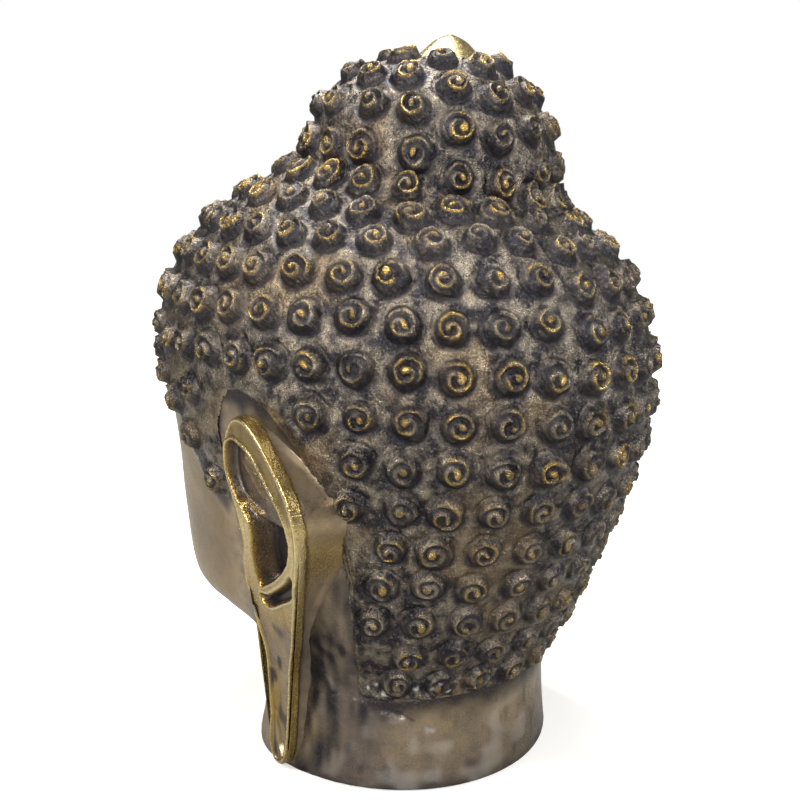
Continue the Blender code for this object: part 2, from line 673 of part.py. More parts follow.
def add_sides(sheet, curls):
    """A few points on the plain stretches of the neck and beside the ears."""
    middles = np.array([c.middle for c in curls])
    reach = np.array([c.radius for c in curls])
    taken = np.array(sheet.points)
    for z in np.arange(42, 240, 9) * U:
        run = SKIN.run_at(z)
        count = int(2 * math.pi * SKIN.radius(run) / SIDE_NET)
        for angle in np.linspace(0, 2 * math.pi, count, endpoint=False):
            p = clothed(np.float64(angle), np.float64(run))
            if math.cos(angle) < -0.6 or ear_gap(p[1], p[2]) < EAR_FOOT + 3 * U:
                continue
            if (np.linalg.norm(middles - p, axis=-1) < reach * 1.6).any():
                continue
            if (np.linalg.norm(taken - p, axis=-1) < 5.5 * U).any():
                continue
            sheet.add(SKIN.flat(angle, run), p)


def bronze():
    material = bpy.data.materials.new("patinated_bronze")
    material.use_nodes = True
    shader = material.node_tree.nodes["Principled BSDF"]
    shader.inputs["Base Color"].default_value = (0.16, 0.115, 0.06, 1)
    shader.inputs["Metallic"].default_value = 0.9
    shader.inputs["Roughness"].default_value = 0.42
    return material


def main():
    for old in list(bpy.data.objects):
        bpy.data.objects.remove(old)
    curls = make_curls()
    sheet = Sheet()
    add_rings(sheet)
    add_curls(sheet, curls)
    add_ears(sheet)
    add_face(sheet, curls)
    add_sides(sheet, curls)
    head = bpy.data.objects.new("buddha_head", sheet.mesh("buddha_head", NECK_SIDES))
    head.data.materials.append(bronze())
    bpy.context.scene.collection.objects.link(head)
    print(len(curls), "curls,", len(head.data.polygons), "faces")


main()
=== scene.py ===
"""Cast bronze head of a buddha: the fine model over its solids, with its bronze, floor, light and camera.

The head faces -Y, its left ear is at +X, and it stands on the flat cut of its neck at Z = 0.
"""
import itertools
import math

import bpy
import numpy as np
from mathutils import Matrix, Vector
from mathutils.geometry import delaunay_2d_cdt


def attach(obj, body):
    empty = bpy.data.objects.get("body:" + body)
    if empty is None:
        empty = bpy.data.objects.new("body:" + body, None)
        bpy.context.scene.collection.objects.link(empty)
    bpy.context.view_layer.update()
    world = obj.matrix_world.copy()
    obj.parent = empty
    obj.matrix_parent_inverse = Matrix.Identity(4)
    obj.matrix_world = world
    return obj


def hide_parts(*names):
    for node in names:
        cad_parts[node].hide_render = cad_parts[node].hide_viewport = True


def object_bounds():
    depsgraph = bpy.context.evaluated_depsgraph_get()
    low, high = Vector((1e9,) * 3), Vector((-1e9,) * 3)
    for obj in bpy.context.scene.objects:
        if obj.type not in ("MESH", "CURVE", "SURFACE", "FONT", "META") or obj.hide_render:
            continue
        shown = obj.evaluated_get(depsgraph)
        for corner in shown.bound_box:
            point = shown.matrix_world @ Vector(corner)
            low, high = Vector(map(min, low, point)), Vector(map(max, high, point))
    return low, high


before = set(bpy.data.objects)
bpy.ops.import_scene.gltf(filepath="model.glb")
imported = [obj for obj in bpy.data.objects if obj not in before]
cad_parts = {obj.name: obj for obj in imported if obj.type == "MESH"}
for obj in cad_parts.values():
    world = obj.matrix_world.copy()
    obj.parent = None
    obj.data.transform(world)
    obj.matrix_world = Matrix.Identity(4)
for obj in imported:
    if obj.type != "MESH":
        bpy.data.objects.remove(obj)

CAD_BOX = [[float(v) for v in corner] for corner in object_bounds()]
NODE = "buddha_head"
SLOT = "patinated_bronze"

# Overall size. Everything else is a proportion of it, counted in U, which is about a millimetre
HEIGHT = 0.300
U = HEIGHT / 300

# Curls
CURL_PITCH = 17.0 * U
CURL_ROW = 16.3 * U
CURL_RADIUS = 6.7 * U
CURL_HEIGHT = 4.8 * U
CURL_CLEARANCE = 0.8 * U
HAIR_THICKNESS = 2.0 * U
NAPE_ROW = 48 * U

# Levels of the bare head, from the neck's cut to the top of the jewel: height, half width, depth to the
# back and to the front from the level's own centre, the centre's place along Y, how far the level leans
# down at the back in degrees, and how full its front is (2 is an ellipse)
LEVELS = np.array([
    (0, 70.5, 70, 50, 0, 0, 1.8),
    (20, 69, 67, 47.5, 0, 0, 1.75),
    (38, 69, 65, 47.5, 0, 0, 1.75),
    (48, 70, 67, 51, 0, 0, 1.8),
    (56, 73, 71, 56, 0, 0, 1.9),
    (63, 76.5, 74.5, 67, 0, 0, 2.1),
    (70, 79, 77.5, 84, 0, 0, 2.3),
    (77, 80.3, 80, 95.5, 0, 0, 2.4),
    (86, 81.3, 83.5, 101, 0, 0, 2.45),
    (105, 84, 91.5, 104.5, 0, 0, 2.45),
    (120, 87.5, 96, 105, 0, 0, 2.4),
    (135, 92, 100.5, 106, 0, 0, 2.3),
    (150, 95.5, 103.5, 107, -1, 0, 2.25),
    (165, 97, 105, 108, -2, 0, 2.2),
    (180, 97, 105, 107, -4, 0, 2.2),
    (195, 94, 102, 102.5, -6, 0, 2.15),
    (210, 87.5, 95.5, 94, -8, 0, 2.1),
    (222, 78.5, 86.5, 80, -9, 2, 2.05),
    (232, 66.5, 75, 63, -8, 4, 2.0),
    (239, 57.5, 62.5, 52, -2, 7, 2.0),
    (244, 52, 52.5, 51, 5, 9, 2.0),
    (251, 49.8, 49, 49, 7.3, 9, 2.0),
    (262, 48, 47, 47, 8.6, 9, 2.0),
    (271, 43.2, 42.7, 42.7, 10, 9, 2.0),
    (278.5, 36, 35.7, 35.7, 11.6, 8, 2.0),
    (283.8, 27.3, 27.3, 27.3, 12.8, 6, 2.0),
    (286.8, 19.6, 19.6, 19.6, 13.8, 3, 2.0),
    (289.3, 15.2, 15.2, 15.2, 14, 0, 2.0),
    (293, 10.9, 10.9, 10.9, 14, 0, 2.0),
    (297, 6.4, 6.4, 6.4, 14, 0, 2.0),
    (300, 0, 0, 0, 14, 0, 2.0),
])
TILT_COLUMN = 5
# How far the front of the face hangs below a level's own height, so that the jaw rises to the ears
JAW_DROP = np.array([
    (40, 0), (56, 7), (66, 15), (77, 20), (86, 19.5), (105, 13), (120, 8), (135, 3.5), (152, 0),
])

# Lower edge of the hair on the left side: angle from the back of the head in degrees, and height
HAIRLINE = np.array([
    (0, 39.5), (40, 39.5), (49, 38.5), (54.5, 40.5), (57, 45), (57, 78), (58, 95), (60, 108), (63, 122),
    (65.5, 135), (68, 147), (74, 158), (82, 162), (90, 162), (94, 150), (97, 119), (101, 114.5), (107, 117),
    (111, 131), (116, 144), (124, 155), (136, 167), (155, 177), (180, 181),
])

# Ears, seen from the side: Y and Z of points round the left ear's edge, from its top backwards and down
EAR_EDGE = np.array([
    (5, 151), (13, 152.5), (22, 148.5), (31, 141), (39, 132), (44, 121), (43.5, 110), (40.5, 101),
    (35.5, 90), (29, 76), (23, 62), (18, 48), (16.5, 36), (15.5, 22), (13.5, 9), (9.5, 2.4), (4, 2.4),
    (0.5, 8), (0, 22), (-1, 36), (-2.5, 50), (-6, 62), (-7.5, 76), (-5, 89), (0.5, 101), (0, 112),
    (-3, 121), (-4.5, 131), (-2, 143),
])
# The ear's outer side: height and X. It also turns outwards towards the back
EAR_SIDE = np.array([
    (0, 75.5), (30, 76), (50, 77.5), (65, 80.5), (80, 84.5), (100, 90.5), (120, 95), (135, 97.5),
    (160, 100.5),
])
EAR_FLARE = 0.12
EAR_MIDDLE = 20 * U
EAR_FOOT = 1.4 * U
EAR_BUTTRESS = 5.0 * U
BUTTRESS_Z = 118 * U
BUTTRESS_HALF = 24 * U

# Where the hair's front edge starts at the temple, in degrees from the back
FRONT_EDGE_START = 102
# Rows of curls: the crown's last one, and the bun's, by height or by steps along the surface
CROWN_ROW = 232.5 * U
BUN_ROW = 251 * U
BUN_ROW_STEP = 14.8 * U
BUN_ROWS = 4
SLOPE_ROW = 241 * U
COLUMN_START = math.radians(15)
CURL_SHIFT = 0.9 * U
CURL_SEED = 5
SMALLEST_CURL = 0.8
# Curls nearer to each other than the pitch are pushed apart in small steps
NEAREST_START = 0.58
PUSH_STEPS = 40
PUSH_SHARE = 0.2

# Face, in U. The nose: heights along its ridge with how far it stands out there, and with its half width
NOSE_RIDGE = np.array([
    (97.5, 0), (99, 3), (101.5, 15), (105, 21.5), (108, 22), (116, 18.5), (128, 12.5), (137, 8.2),
    (145, 4.2), (156, 0),
])
NOSE_WIDTH = np.array([(97, 8.5), (105, 10.5), (112, 8.6), (128, 6.2), (140, 6.8), (156, 12)])
# Brows: their top's place, how wide they bend, how far they stand out, half width and outer end
BROW_TOP = 148
BROW_X = 33
BROW_BEND = 8.4
BROW_DEPTH = 2.6
BROW_WIDTH = 3.4
BROW_END = 72
FOREHEAD_DEPTH = 1.2
FOREHEAD_TOP = 176
# How softly the brows' ends and the forehead's top fade, the forehead's lower edge and its half width
BROW_FADE = 14
FOREHEAD_RISE = 10
FOREHEAD_HALF = 50
# How square the nose is across, how much softer it gets at its root, where that starts and the way it takes
NOSE_SQUARE = (2.6, 0.7, 126, 20)
# Eyes: middle, the slit's half length and soft corner, and the eyeball's half width, half height, depth
EYE_X = 32
EYE_Z = 127
EYE_HALF = 18.5
EYE_CORNER = 4
EYE_BALL = (21, 11, 8.2)
# The slit's place and bend, the upper lid's height and edge, then folds by offset from the slit, half
# height and how far they stand out
SLIT_DROP = 4.6
SLIT_BEND = 8.2
UPPER_LID = 1.5
UPPER_LID_EDGE = 1.2
SLIT = (0, 0.9, -1.6)
LOWER_LID = (-4.2, 1.5, 1.0)
LID_CREASE = (10.5, 1.2, -0.9)
# Mouth: height, how wide its line bends, half width, each lip's offset from the line, half height and
# depth, how full the lips stay towards the corners, the bow's dip and half width, and the parting's half
# height and depth
MOUTH_Z = 86
MOUTH_BEND = 12
MOUTH_HALF = 25.5
UPPER_LIP = (3.2, 2.9, 4.6)
LOWER_LIP = (-4.4, 3.8, 6.0)
LOWER_LIP_HALF = 20.5
LIP_POWER = 0.6
BOW_DIP = 0.28
BOW_HALF = 2.6
LIP_PARTING = (1.1, 3.4)
# Soft swellings and hollows of the face: X and Z of the middle, half width, half height, and how far it
# stands out
FACE_SWELLS = {
    "wing of the nose": (12.6, 104.5, 5, 5, 10),
    "eye socket": (27, 133, 20, 7, -5),
    "inner corner of the eye": (16, 128, 6.5, 9, -3),
    "mound of the mouth": (0, 86, 27, 15, 5),
    "corner of the mouth": (26, 90.5, 3.4, 3, -2),
    "groove under the nose": (0, 96, 2.4, 3.6, -1.2),
    "chin": (0, 65, 18, 10, 7),
    "hollow over the chin": (0, 75.5, 14, 2.8, -1.8),
    "cheek": (43, 104, 23, 20, 4),
    "fold beside the nose": (21, 98, 4, 9, -1),
}

# Numbers near 0 that keep a division safe, and the small steps over which the skin's normals are taken
TINY = 1e-9
NO_LENGTH = 1e-12
NEAR_ANGLE = 1e-3
NEAR_RUN = 0.5 * U
FINE_RUNS = 4001
# The smooth jewel, as a length of the outline below its tip, and the soft edges of the jewel and the hair
JEWEL_RUN = 22 * U
JEWEL_EDGE = 2 * U
HAIR_EDGE = 2.5 * U
FINE_HAIR_EDGE = 1.3 * U
# A curl's room is tried at some places on a share of its radius. Inside EAR_X there is no ear
FIT_SHARE = 0.9
FIT_PLACES = 13
NARROWEST = 6 * U
EAR_X = 60 * U
FRONT_EDGE_PLACES = 400
CURL_SIZES = (0.94, 1.06)

# Steps of the meshes: of the hair, its hidden side, the bun, the skin round the head, the face and the
# skin's rows
HAIR_STEP = 0.78 * U
HIDDEN_STEP = 1.1 * U
BUN_STEP = 0.62 * U
SKIN_STEP = 1.15 * U
FACE_STEP = 0.75 * U
SKIN_ROW = 0.9 * U
SKIN_WIDTH = 80 * U
# The sectors with the hair's and the skin's finer steps, in degrees from the back, and where the bun's
# piece starts
FINE_SECTOR = (-40, 130)
FACE_SECTOR = (120, 240)
BUN_START = 245 * U
# How far hair and skin reach past the hair's lower edge, the skin under the ears, and the rows of each
HAIR_OVERLAP = 3 * U
SKIN_OVERLAP = 4 * U
EAR_OVERLAP = 2 * U
ROWS_BELOW = 4 * U
ROWS_ABOVE = 5 * U
# Where the last row ends below the jewel's tip, and how much lower the tip is
TIP_GAP = 0.4 * U
TIP_LOSS = 0.3 * U
# Places worked out at a time
CHUNK = 4000
# Rounding of the neck's cut, in U
EDGE_ROUND = 1.5
# Turns over which the hair's lower edge is softened, and how deep the skin beside the hair sinks
EDGE_BLUR = tuple(math.radians(turn) for turn in (-2.4, -1.2, 0, 1.2, 2.4))
HAIR_SINK = 0.4 * U

# Numbers that mix a place and a seed into a random value
HASH_AXES = (73856093, 19349663, 83492791)
HASH_SEED = 2654435761
HASH_MIX = 1274126177
HASH_MASK = 0xFFFFFFFF
# Noises, each a sum of layers: size of the lumps in U, seed and height
CURL_LUMPS = ((3.6, 11, 0.10), (1.5, 12, 0.04))
HAIR_WANDER = ((5, 3, 0.9), (1.8, 4, 0.5))
HAIR_GRAIN = ((2.6, 5, 0.22), (1.4, 6, 0.16), (9, 7, 0.25))
MARK_WANDER = ((1.6, 41, 0.3),)
SKIN_DENTS = ((14, 21, 0.18), (5, 22, 0.06))
STAIN_WANDER = ((5, 23, 2.2),)
NECK_MOTTLE = ((9, 26, 0.14),)
WALL_STREAKS = ((3, 25, 0.7),)
WALL_CRAGS = ((2.6, 27, 0.3),)
EAR_DENTS = ((3, 31, 0.10), (12, 32, 0.2))
# Patches: size in U, seed, how hard their edges are, how much they cover, and how flat they are if not 1
CURL_WEAR = (3.4, 13, 1.1, 0.45)
CHALK_SPECKS = (2.1, 8, 2.4, -0.9)
NECK_STAINS = (5, 24, 1.4, -0.2, 0.6)
NECK_PALE = (6, 28, 1.4, 0)
EAR_PATCHES = (5, 33, 0.9, 0.5, 0.4)
EAR_STAINS = (4, 34, 1.5, -0.1, 0.5)

# A curl's coil, in shares of its radius: where it starts and ends, how it winds inwards, its turns, half
# its width at the start, how much wider it grows, how it fades in and out, and the knob at its end
RING_START = 0.82
RING_END = 0.17
RING_POWER = 1.5
RING_TURNS = 1.5
RING_HALF = 0.09
RING_GROWTH = 0.6
RING_FADE_IN = 0.14
RING_FADE_OUT = 0.08
KNOB = 0.27
KNOB_EDGE = (0.06, 0.13)
# Its heights in shares of its own height: the bottom of the grooves, how much higher it is on a blunt curl,
# the coil's ridge and the knob
GROOVE_FLOOR = 0.36
BLUNT_FLOOR = 0.16
RIDGE_HEIGHT = 0.42
KNOB_HEIGHT = 0.97
# Rings in shares of its radius: its outer edge, the moat round it, its dark flank (patina, with painted shade
# on its lower side), the dark halo round it (painted shade, strongest below the curl), and the edge within
# which the hair stands the curl's way
BODY_EDGE = (1.03, 0.24)
MOAT = (1.12, 0.13)
MOAT_DEPTH = 0.6 * U
FLANK = (0.98, 0.12)
HALO_EDGE = (1.5, 0.45)
NEAR_EDGE = (1.35, 0.3)
# How the curls differ: shallow low down and deep high up, then ranges, or a middle and a spread
CARVING_SEED = 12
SHALLOW_BELOW = 80 * U
DEEP_ABOVE = 200 * U
LEFT_HANDED = 0.62
START_TURN = math.radians(70)
START_SPREAD = 0.6
HEIGHTS = (0.86, 1.02)
CRISPNESS = (0.9, 0.25)
MIDDLE_SHIFT = (0.02, -0.06)
SHIFT_SPREAD = 0.06
RUBS = (0.2, 1)
CONES = (0.4, 1)
KNOBS = (0.8, 1.2)
OVALS = (0.55, 0.95)

# Fine carving of the ears: the edges of their hollows as Y and Z, each with its depth and its wall's width
EAR_COUNT = 720
HOLLOW_COUNT = 240
EAR_CARVING = {
    "well": (
        [
            (4, 143), (10, 142.3), (17, 139.8), (23, 134.7), (28.8, 128.9), (34, 123.5), (37.4, 118),
            (38.6, 112.5), (37.6, 107), (34.3, 101.5), (28, 95.5), (20, 89.5), (12, 84.5), (6.5, 82.2),
            (4.6, 86), (5.5, 95), (8.5, 105), (8.5, 111), (4.6, 116), (0.2, 121), (-2.4, 127), (-2.7, 134),
            (-1, 140),
        ],
        5.0, 1.8,
    ),
    "notch": (
        [
            (3.6, 78), (10, 79.8), (20, 85.8), (28, 91.4), (33.6, 96.6), (35, 93.5), (30, 85.4), (21, 79.8),
            (9.8, 73.9), (4, 74.6),
        ],
        4.0, 1.8,
    ),
    "slit": ([(4, 22), (6.5, 21), (10, 13), (12, 6.5), (9.5, 5.5), (6, 10)], 2.4, 1.6),
}
# The hollows' bright lips, the leaf's ridge and the shelf in the well, the bowl under them, and the lobe
LIP_OFFSET = -0.6
LIP_HALF = 0.7
SLIT_LIP = 0.4
LEAF_RIDGE = ((8, 135), (18, 126))
LEAF_HALF = 3.4
LEAF_HEIGHT = 2.6
SHELF_RIDGE = ((3, 118), (15, 115.5))
SHELF_HALF = 1.1
SHELF_HEIGHT = 2.2
SHELF_Z = 114
BOWL_DEPTH = 6.0
LOBE_TOP = 72
LOBE_FADE = 10
# The ear's mesh: its step, its rounded edge's radius and loops, and where its net starts
EAR_STEP = 0.55 * U
EAR_EDGE_ROUND = 1.3
RIM_LOOPS = (0.0, 0.15, 0.45, 0.9, 1.3)
NET_DEPTH = 1.6 * U
# The wall behind the ear: its rows, its sunk foot, the rim's bright strip, the step behind it, its bulge,
# and where it runs straight
WALL_STEPS = 22
WALL_SINK = 0.7 * U
RIM_STRIP = 3.8 * U
STRIP_EDGE = 1.0 * U
WALL_INSET = 0.6 * U
INSET_WAY = 4 * U
WALL_BULGE = 0.22
STRAIGHT_SHARE = 0.85
STRAIGHT_FROM = (108, 10)
# Heights at which the ear's colour changes, each with the way it takes or its half height
RIM_BRIGHT = (106, 24)
FACE_BRIGHT = (104, 20)
WALL_BRIGHT = (104, 16)
WALL_ROUGH = (104, 26)
# Above WALL_UPPER the wall gets a painted highlight along its joint and no painted shade; below WALL_LOW
# painted shade darkens it
WALL_UPPER = (112, 8)
WALL_LOW = (90, 12)
EAR_TOP_AGED = (114, 12)

# Creases, chips and cracks of the casting, each from one place to another by angle from the back and
# height, with its half width, its depth, and how sooty and how chalky it is
CASTING_MARKS = (
    ((66, 243.5), (59, 233), 0.9, 1.0, 0.95, 0.0),
    ((48, 34.5), (42.5, 32.5), 1.9, 0.7, 0.9, 0.0),
    ((42.5, 32.5), (38, 29.5), 0.9, 0.4, 0.8, 0.0),
    ((33, 25.6), (31, 25), 1.1, 0.6, 0.5, 0.5),
    ((67, 102), (61.5, 108), 0.6, 0.5, 0.9, 0.0),
    ((68.5, 93), (64, 99), 0.5, 0.3, 0.8, 0.0),
    ((67.2, 44), (66, 41), 1.5, -0.6, 0.1, 0.15),
)
# Chalk along the nape: its band over the hair's edge, and the height where it ends with the way it takes
CHALK_BAND = 5 * U
CHALK_TOP = (66 * U, 12 * U)

# The face's fine lines: how deep they cut, then each one's strength and half width
FACE_LINE_DEPTH = 0.7
SLIT_LINE = (1.0, 1.1)
CREASE_LINE = (0.7, 1.3)
BROW_LINE = (0.45, 1.8)
WING_LINE = (0.6, 1.2)
LIP_LINE = (1.0, 1.2)
# A wing of the nose as X, Z and radius, then nostril, nose and lips as X, Z, half width and half height
WING = (12.6, 104.5, 6.4)
NOSTRIL = (5.8, 99.4, 3.4, 1.7)
NOSE_TOUCHED = (0, 106, 9, 14)
LIPS_TOUCHED = (0, MOUTH_Z, 26, 7)

# The way over which the face's own relief and looks come in. Then where the skin's looks change, in U, each
# as a place and the way it takes
FACE_FADE = 24
LEDGE_DEPTH = 0.5
LEDGE_FOOT = (37, 1.2)
LEDGE_TOP = (46, 5)
# BEHIND_Y, BEHIND_X and BEHIND_TOP bound the painted shadow behind the ear; THIN_BELOW and THIN_BEYOND thin
# it low down and away from the ear
BEHIND_Y = (8, 6)
BEHIND_X = (46, 10)
BEHIND_TOP = (106, 20)
THIN_BELOW = (34, 10)
THIN_BEYOND = (14, 8)
# Below PALE_TOP the neck gets pale patches, a painted highlight
PALE_TOP = (36, 8)
BESIDE_EAR = 9
BESIDE_X = (45, 10)
BESIDE_Z = (108, 9)

# The bronze's clouds: scale per metre, detail and roughness
CLOUDS = {"broad": (26, 3, 0.55), "middle": (170, 5, 0.6), "fine": (900, 4, 0.65), "finest": (1500, 2, 0.55)}
# Its colours on rough places (the ground) and on smooth ones (the satin): a first one, then others laid
# over it by cloud, the cloud's values over which they come in, strength and colour
GROUND = (
    (0.024, 0.022, 0.027, 1),
    ("middle", 0.42, 0.61, 1.0, (0.205, 0.175, 0.138, 1)),
    ("broad", 0.49, 0.64, 0.6, (0.215, 0.155, 0.088, 1)),
    ("fine", 0.57, 0.68, 0.45, (0.36, 0.32, 0.25, 1)),
)
SATIN = (
    (0.20, 0.160, 0.136, 1),
    ("broad", 0.38, 0.62, 1.0, (0.34, 0.265, 0.170, 1)),
    ("middle", 0.46, 0.66, 0.42, (0.090, 0.075, 0.070, 1)),
)
# Rubbed and polished bronze, the polished one also a painted highlight on the ear's wall. Soot, also painted
# shade under the curls, under the hair's edge and behind the ear. Chalk, also a painted highlight low on the
# neck
RUBBED = (0.31, 0.20, 0.045, 1)
POLISHED_AND_GLINT = (0.62, 0.52, 0.29, 1)
SOOT_AND_SHADE = (0.014, 0.013, 0.019, 1)
CHALK_AND_SHEEN = (0.42, 0.41, 0.39, 1)
METALLIC = 0.9
ROUGHNESS = (0.16, 0.34)
RELIEF_STRENGTH = 0.9
RELIEF_DEPTH = 0.0005

# The photograph's view, in metres
CAMERA_PLACE = Vector((0.2978, 0.2996, 0.2315))
CAMERA_WAY = Vector((-0.6848, -0.7017, -0.1966))
CAMERA_ROLL = math.radians(2.64)
CAMERA_LENS = 43.7

# Studio. The camera sees a glowing floor and a white world, and the bronze mirrors dim ones
FLOOR_HALF = 4
WHITE = (1, 1, 1, 1)
FLOOR_LOOKS = {"Base Color": (0.84, 0.84, 0.83, 1), "Roughness": 0.7, "Emission Color": WHITE}
FLOOR_GLOW = {"low": 0.25, "high": 1.2, "start": 0.2, "end": 1.1}
DIM_FLOOR = (0.40, 0.40, 0.39, 1)
DIM_WORLD = (1.0, 0.98, 0.95, 1)
DIM_WORLD_STRENGTH = {"low": 0.0, "high": 0.9, "start": 0.18, "end": 0.17}
# Each lamp's name, place, width, power and colour. All of them shine at one place
LIGHT_AIM = Vector((0, 0, 0.15))
LAMPS = (
    ("beyond", (-0.15, -0.4, 1.05), 0.4, 12, (1.0, 0.98, 0.95)),
    ("overhead", (0.0, 0.1, 1.1), 0.4, 4.5, (1.0, 0.98, 0.95)),
    ("key", (0.8, 0.75, 0.62), 0.25, 15, (1.0, 0.97, 0.92)),
    ("side", (0.9, -0.3, 0.8), 0.35, 10, (1.0, 0.97, 0.92)),
    ("fill", (-0.6, 0.9, 0.7), 0.3, 8, (0.95, 0.97, 1.0)),
)


def cubic(s, gap, start, end, start_slope, end_slope):
    """Cubic at a share s of a gap, from its ends and its slopes there."""
    return (
        start * (1 + 2 * s) * (1 - s) ** 2
        + start_slope * gap * s * (1 - s) ** 2
        + end * s * s * (3 - 2 * s)
        - end_slope * gap * s * s * (1 - s)
    )


def smooth_curve(x, xs, ys):
    """Cubic through the points (xs, ys) with no overshoot where they turn."""
    xs = np.asarray(xs, float)
    ys = np.asarray(ys, float)
    x = np.clip(x, xs[0], xs[-1])
    gaps = np.diff(xs)
    slopes = np.diff(ys) / gaps
    tangents = np.zeros(len(xs))
    tangents[1:-1] = np.where(slopes[:-1] * slopes[1:] > 0, (slopes[:-1] + slopes[1:]) / 2, 0)
    limit = 3 * np.minimum(np.abs(slopes[:-1]), np.abs(slopes[1:]))
    tangents[1:-1] = np.sign(tangents[1:-1]) * np.minimum(np.abs(tangents[1:-1]), limit)
    tangents[0] = slopes[0]
    tangents[-1] = slopes[-1]
    i = np.clip(np.searchsorted(xs, x, side="right") - 1, 0, len(xs) - 2)
    return cubic((x - xs[i]) / gaps[i], gaps[i], ys[i], ys[i + 1], tangents[i], tangents[i + 1])


def smooth_step(x):
    x = np.clip(x, 0, 1)
    return x * x * (3 - 2 * x)


def rise(x, start, way):
    """0 up to the start, then softly up to 1 over the way."""
    return smooth_step((x - start) / way)


def fall(x, end, way):
    """1, then softly down to 0 over the way that ends at the end."""
    return smooth_step((end - x) / way)


def peak(x, middle, half):
    """Soft swelling of height 1 about the middle."""
    return np.exp(-(((x - middle) / half) ** 2))


def bump(x, z, cx, cz, rx, rz):
    """Soft round swelling of height 1 about (cx, cz)."""
    return np.exp(-(((x - cx) / rx) ** 2) - ((z - cz) / rz) ** 2)


def length(v):
    return np.linalg.norm(v, axis=-1)


def unit(v):
    """The same directions, 1 long."""
    return v / np.maximum(length(v)[..., None], NO_LENGTH)


def travelled(steps):
    """The way gone before each step and after the last."""
    return np.concatenate([[0], np.cumsum(steps)])


class Skin:
    """The bare head. A point on it has an angle from the back of the head and a run, the way along the head's
    outline from the neck's cut up to the jewel's tip."""

    def __init__(self):
        self.table = LEVELS.copy()
        self.table[:, :TILT_COLUMN] *= U
        self.table[:, TILT_COLUMN] = np.tan(np.radians(self.table[:, TILT_COLUMN]))
        self.radii = (self.table[:, 1] + self.table[:, 2]) / 2
        self.runs = travelled(np.hypot(np.diff(self.table[:, 0]), np.diff(self.radii)))
        self.fine = np.linspace(0, self.runs[-1], FINE_RUNS)
        self.heights = smooth_curve(self.fine, self.runs, self.table[:, 0])

    @property
    def top(self):
        return self.runs[-1]

    def level(self, run):
        return [smooth_curve(run, self.runs, column) for column in self.table.T]

    def radius(self, run):
        return smooth_curve(run, self.runs, self.radii)

    def point(self, angle, run):
        """Places on the bare skin, with no hair, face or ears."""
        z, half, back, front, centre, tilt, full = self.level(run)
        sine, cosine = np.sin(angle), np.cos(angle)
        depth = np.maximum(np.where(cosine > 0, back, front), TINY)
        power = np.where(cosine > 0, 2.0, full)
        half = np.maximum(half, TINY)
        reach = (np.abs(sine / half) ** power + np.abs(cosine / depth) ** power) ** (-1 / power)
        y = reach * cosine
        return np.stack([reach * sine, centre + y, z - tilt * y - self.drop(z, -y / depth)], -1)

    def drop(self, z, share):
        """How far the face hangs at a share of its depth, 0 at the ears and 1 at the very front."""
        return smooth_curve(z / U, *JAW_DROP.T) * U * smooth_step(share)

    def run_at(self, z):
        return np.interp(z, self.heights, self.fine)

    def place_by_y(self, y, z):
        """Angle and run of the left side's point at y and z."""
        run = self.run_at(z)
        _, half, back, front, centre, _, full = self.level(run)
        depth = np.where(y > centre, back, front)
        power = np.where(y > centre, 2.0, full)
        share = np.clip(np.abs(y - centre) / depth, 0, 1)
        return np.arctan2(half * (1 - share**power) ** (1 / power), y - centre), run


SKIN = Skin()


def hairline(angle):
    turned = np.degrees(np.abs((angle + math.pi) % (2 * math.pi) - math.pi))
    return np.interp(turned, HAIRLINE[:, 0], HAIRLINE[:, 1]) * U


def below_jewel(run):
    """1 on the head and the bun, 0 on the smooth jewel."""
    return smooth_step((SKIN.top - JEWEL_RUN - run) / JEWEL_EDGE + 1)


def clothed(angle, run):
    """Places on the head with its mass of hair, less its curls."""
    share = smooth_step((SKIN.level(run)[0] - hairline(angle)) / HAIR_EDGE + 0.5) * below_jewel(run)
    return SKIN.point(angle, run) + (HAIR_THICKNESS * share)[..., None] * outward(angle, run)


def outward(angle, run):
    """Unit normals of the bare skin."""
    low = np.clip(run - NEAR_RUN, 0, SKIN.top)
    high = np.clip(run + NEAR_RUN, 0, SKIN.top)
    across = SKIN.point(angle + NEAR_ANGLE, run) - SKIN.point(angle - NEAR_ANGLE, run)
    up = SKIN.point(angle, high) - SKIN.point(angle, low)
    return unit(np.cross(up, across))


def level_axes(out):
    """Two directions along the surface for its normals: a level one, and one upwards."""
    along = unit(np.stack([out[..., 1], -out[..., 0], 0 * out[..., 0]], -1))
    up = np.cross(along, out)
    return along, up * np.sign(up[..., 2:])


def fits(angle, run, radius):
    """True if a curl lies within the hair and clear of the ears."""
    turns = np.linspace(0, 2 * math.pi, FIT_PLACES)
    reach = FIT_SHARE * radius
    angles = angle + reach * np.cos(turns) / max(float(SKIN.radius(run)), NARROWEST)
    runs = run + reach * np.sin(turns)
    x, y, z = SKIN.point(angles, runs).T
    beside = (np.abs(x) < EAR_X) | (ear_gap(y, z) > EAR_FOOT + CURL_CLEARANCE)
    return (SKIN.level(runs)[0] > hairline(angles)).all() and beside.all()


def front_edge_places():
    """Middles of the curls along the hair's edge, from the temple over the forehead to the other temple."""
    angles = np.radians(np.linspace(FRONT_EDGE_START, 180, FRONT_EDGE_PLACES))
    runs = SKIN.run_at(hairline(angles))
    width = SKIN.radius(runs)
    way = unit(np.stack([np.gradient(angles) * width, np.gradient(runs)], -1))
    inset = CURL_RADIUS + CURL_CLEARANCE
    angles = angles - inset * way[:, 1] / width
    runs = runs + inset * way[:, 0]
    gone = travelled(length(np.diff(SKIN.point(angles, runs), axis=0)))
    stops = np.linspace(0, gone[-1], round(gone[-1] / CURL_PITCH) + 1)
    left = list(zip(np.interp(stops, gone, angles), np.interp(stops, gone, runs)))
    return left + [(-angle, run) for angle, run in left[:-1]]


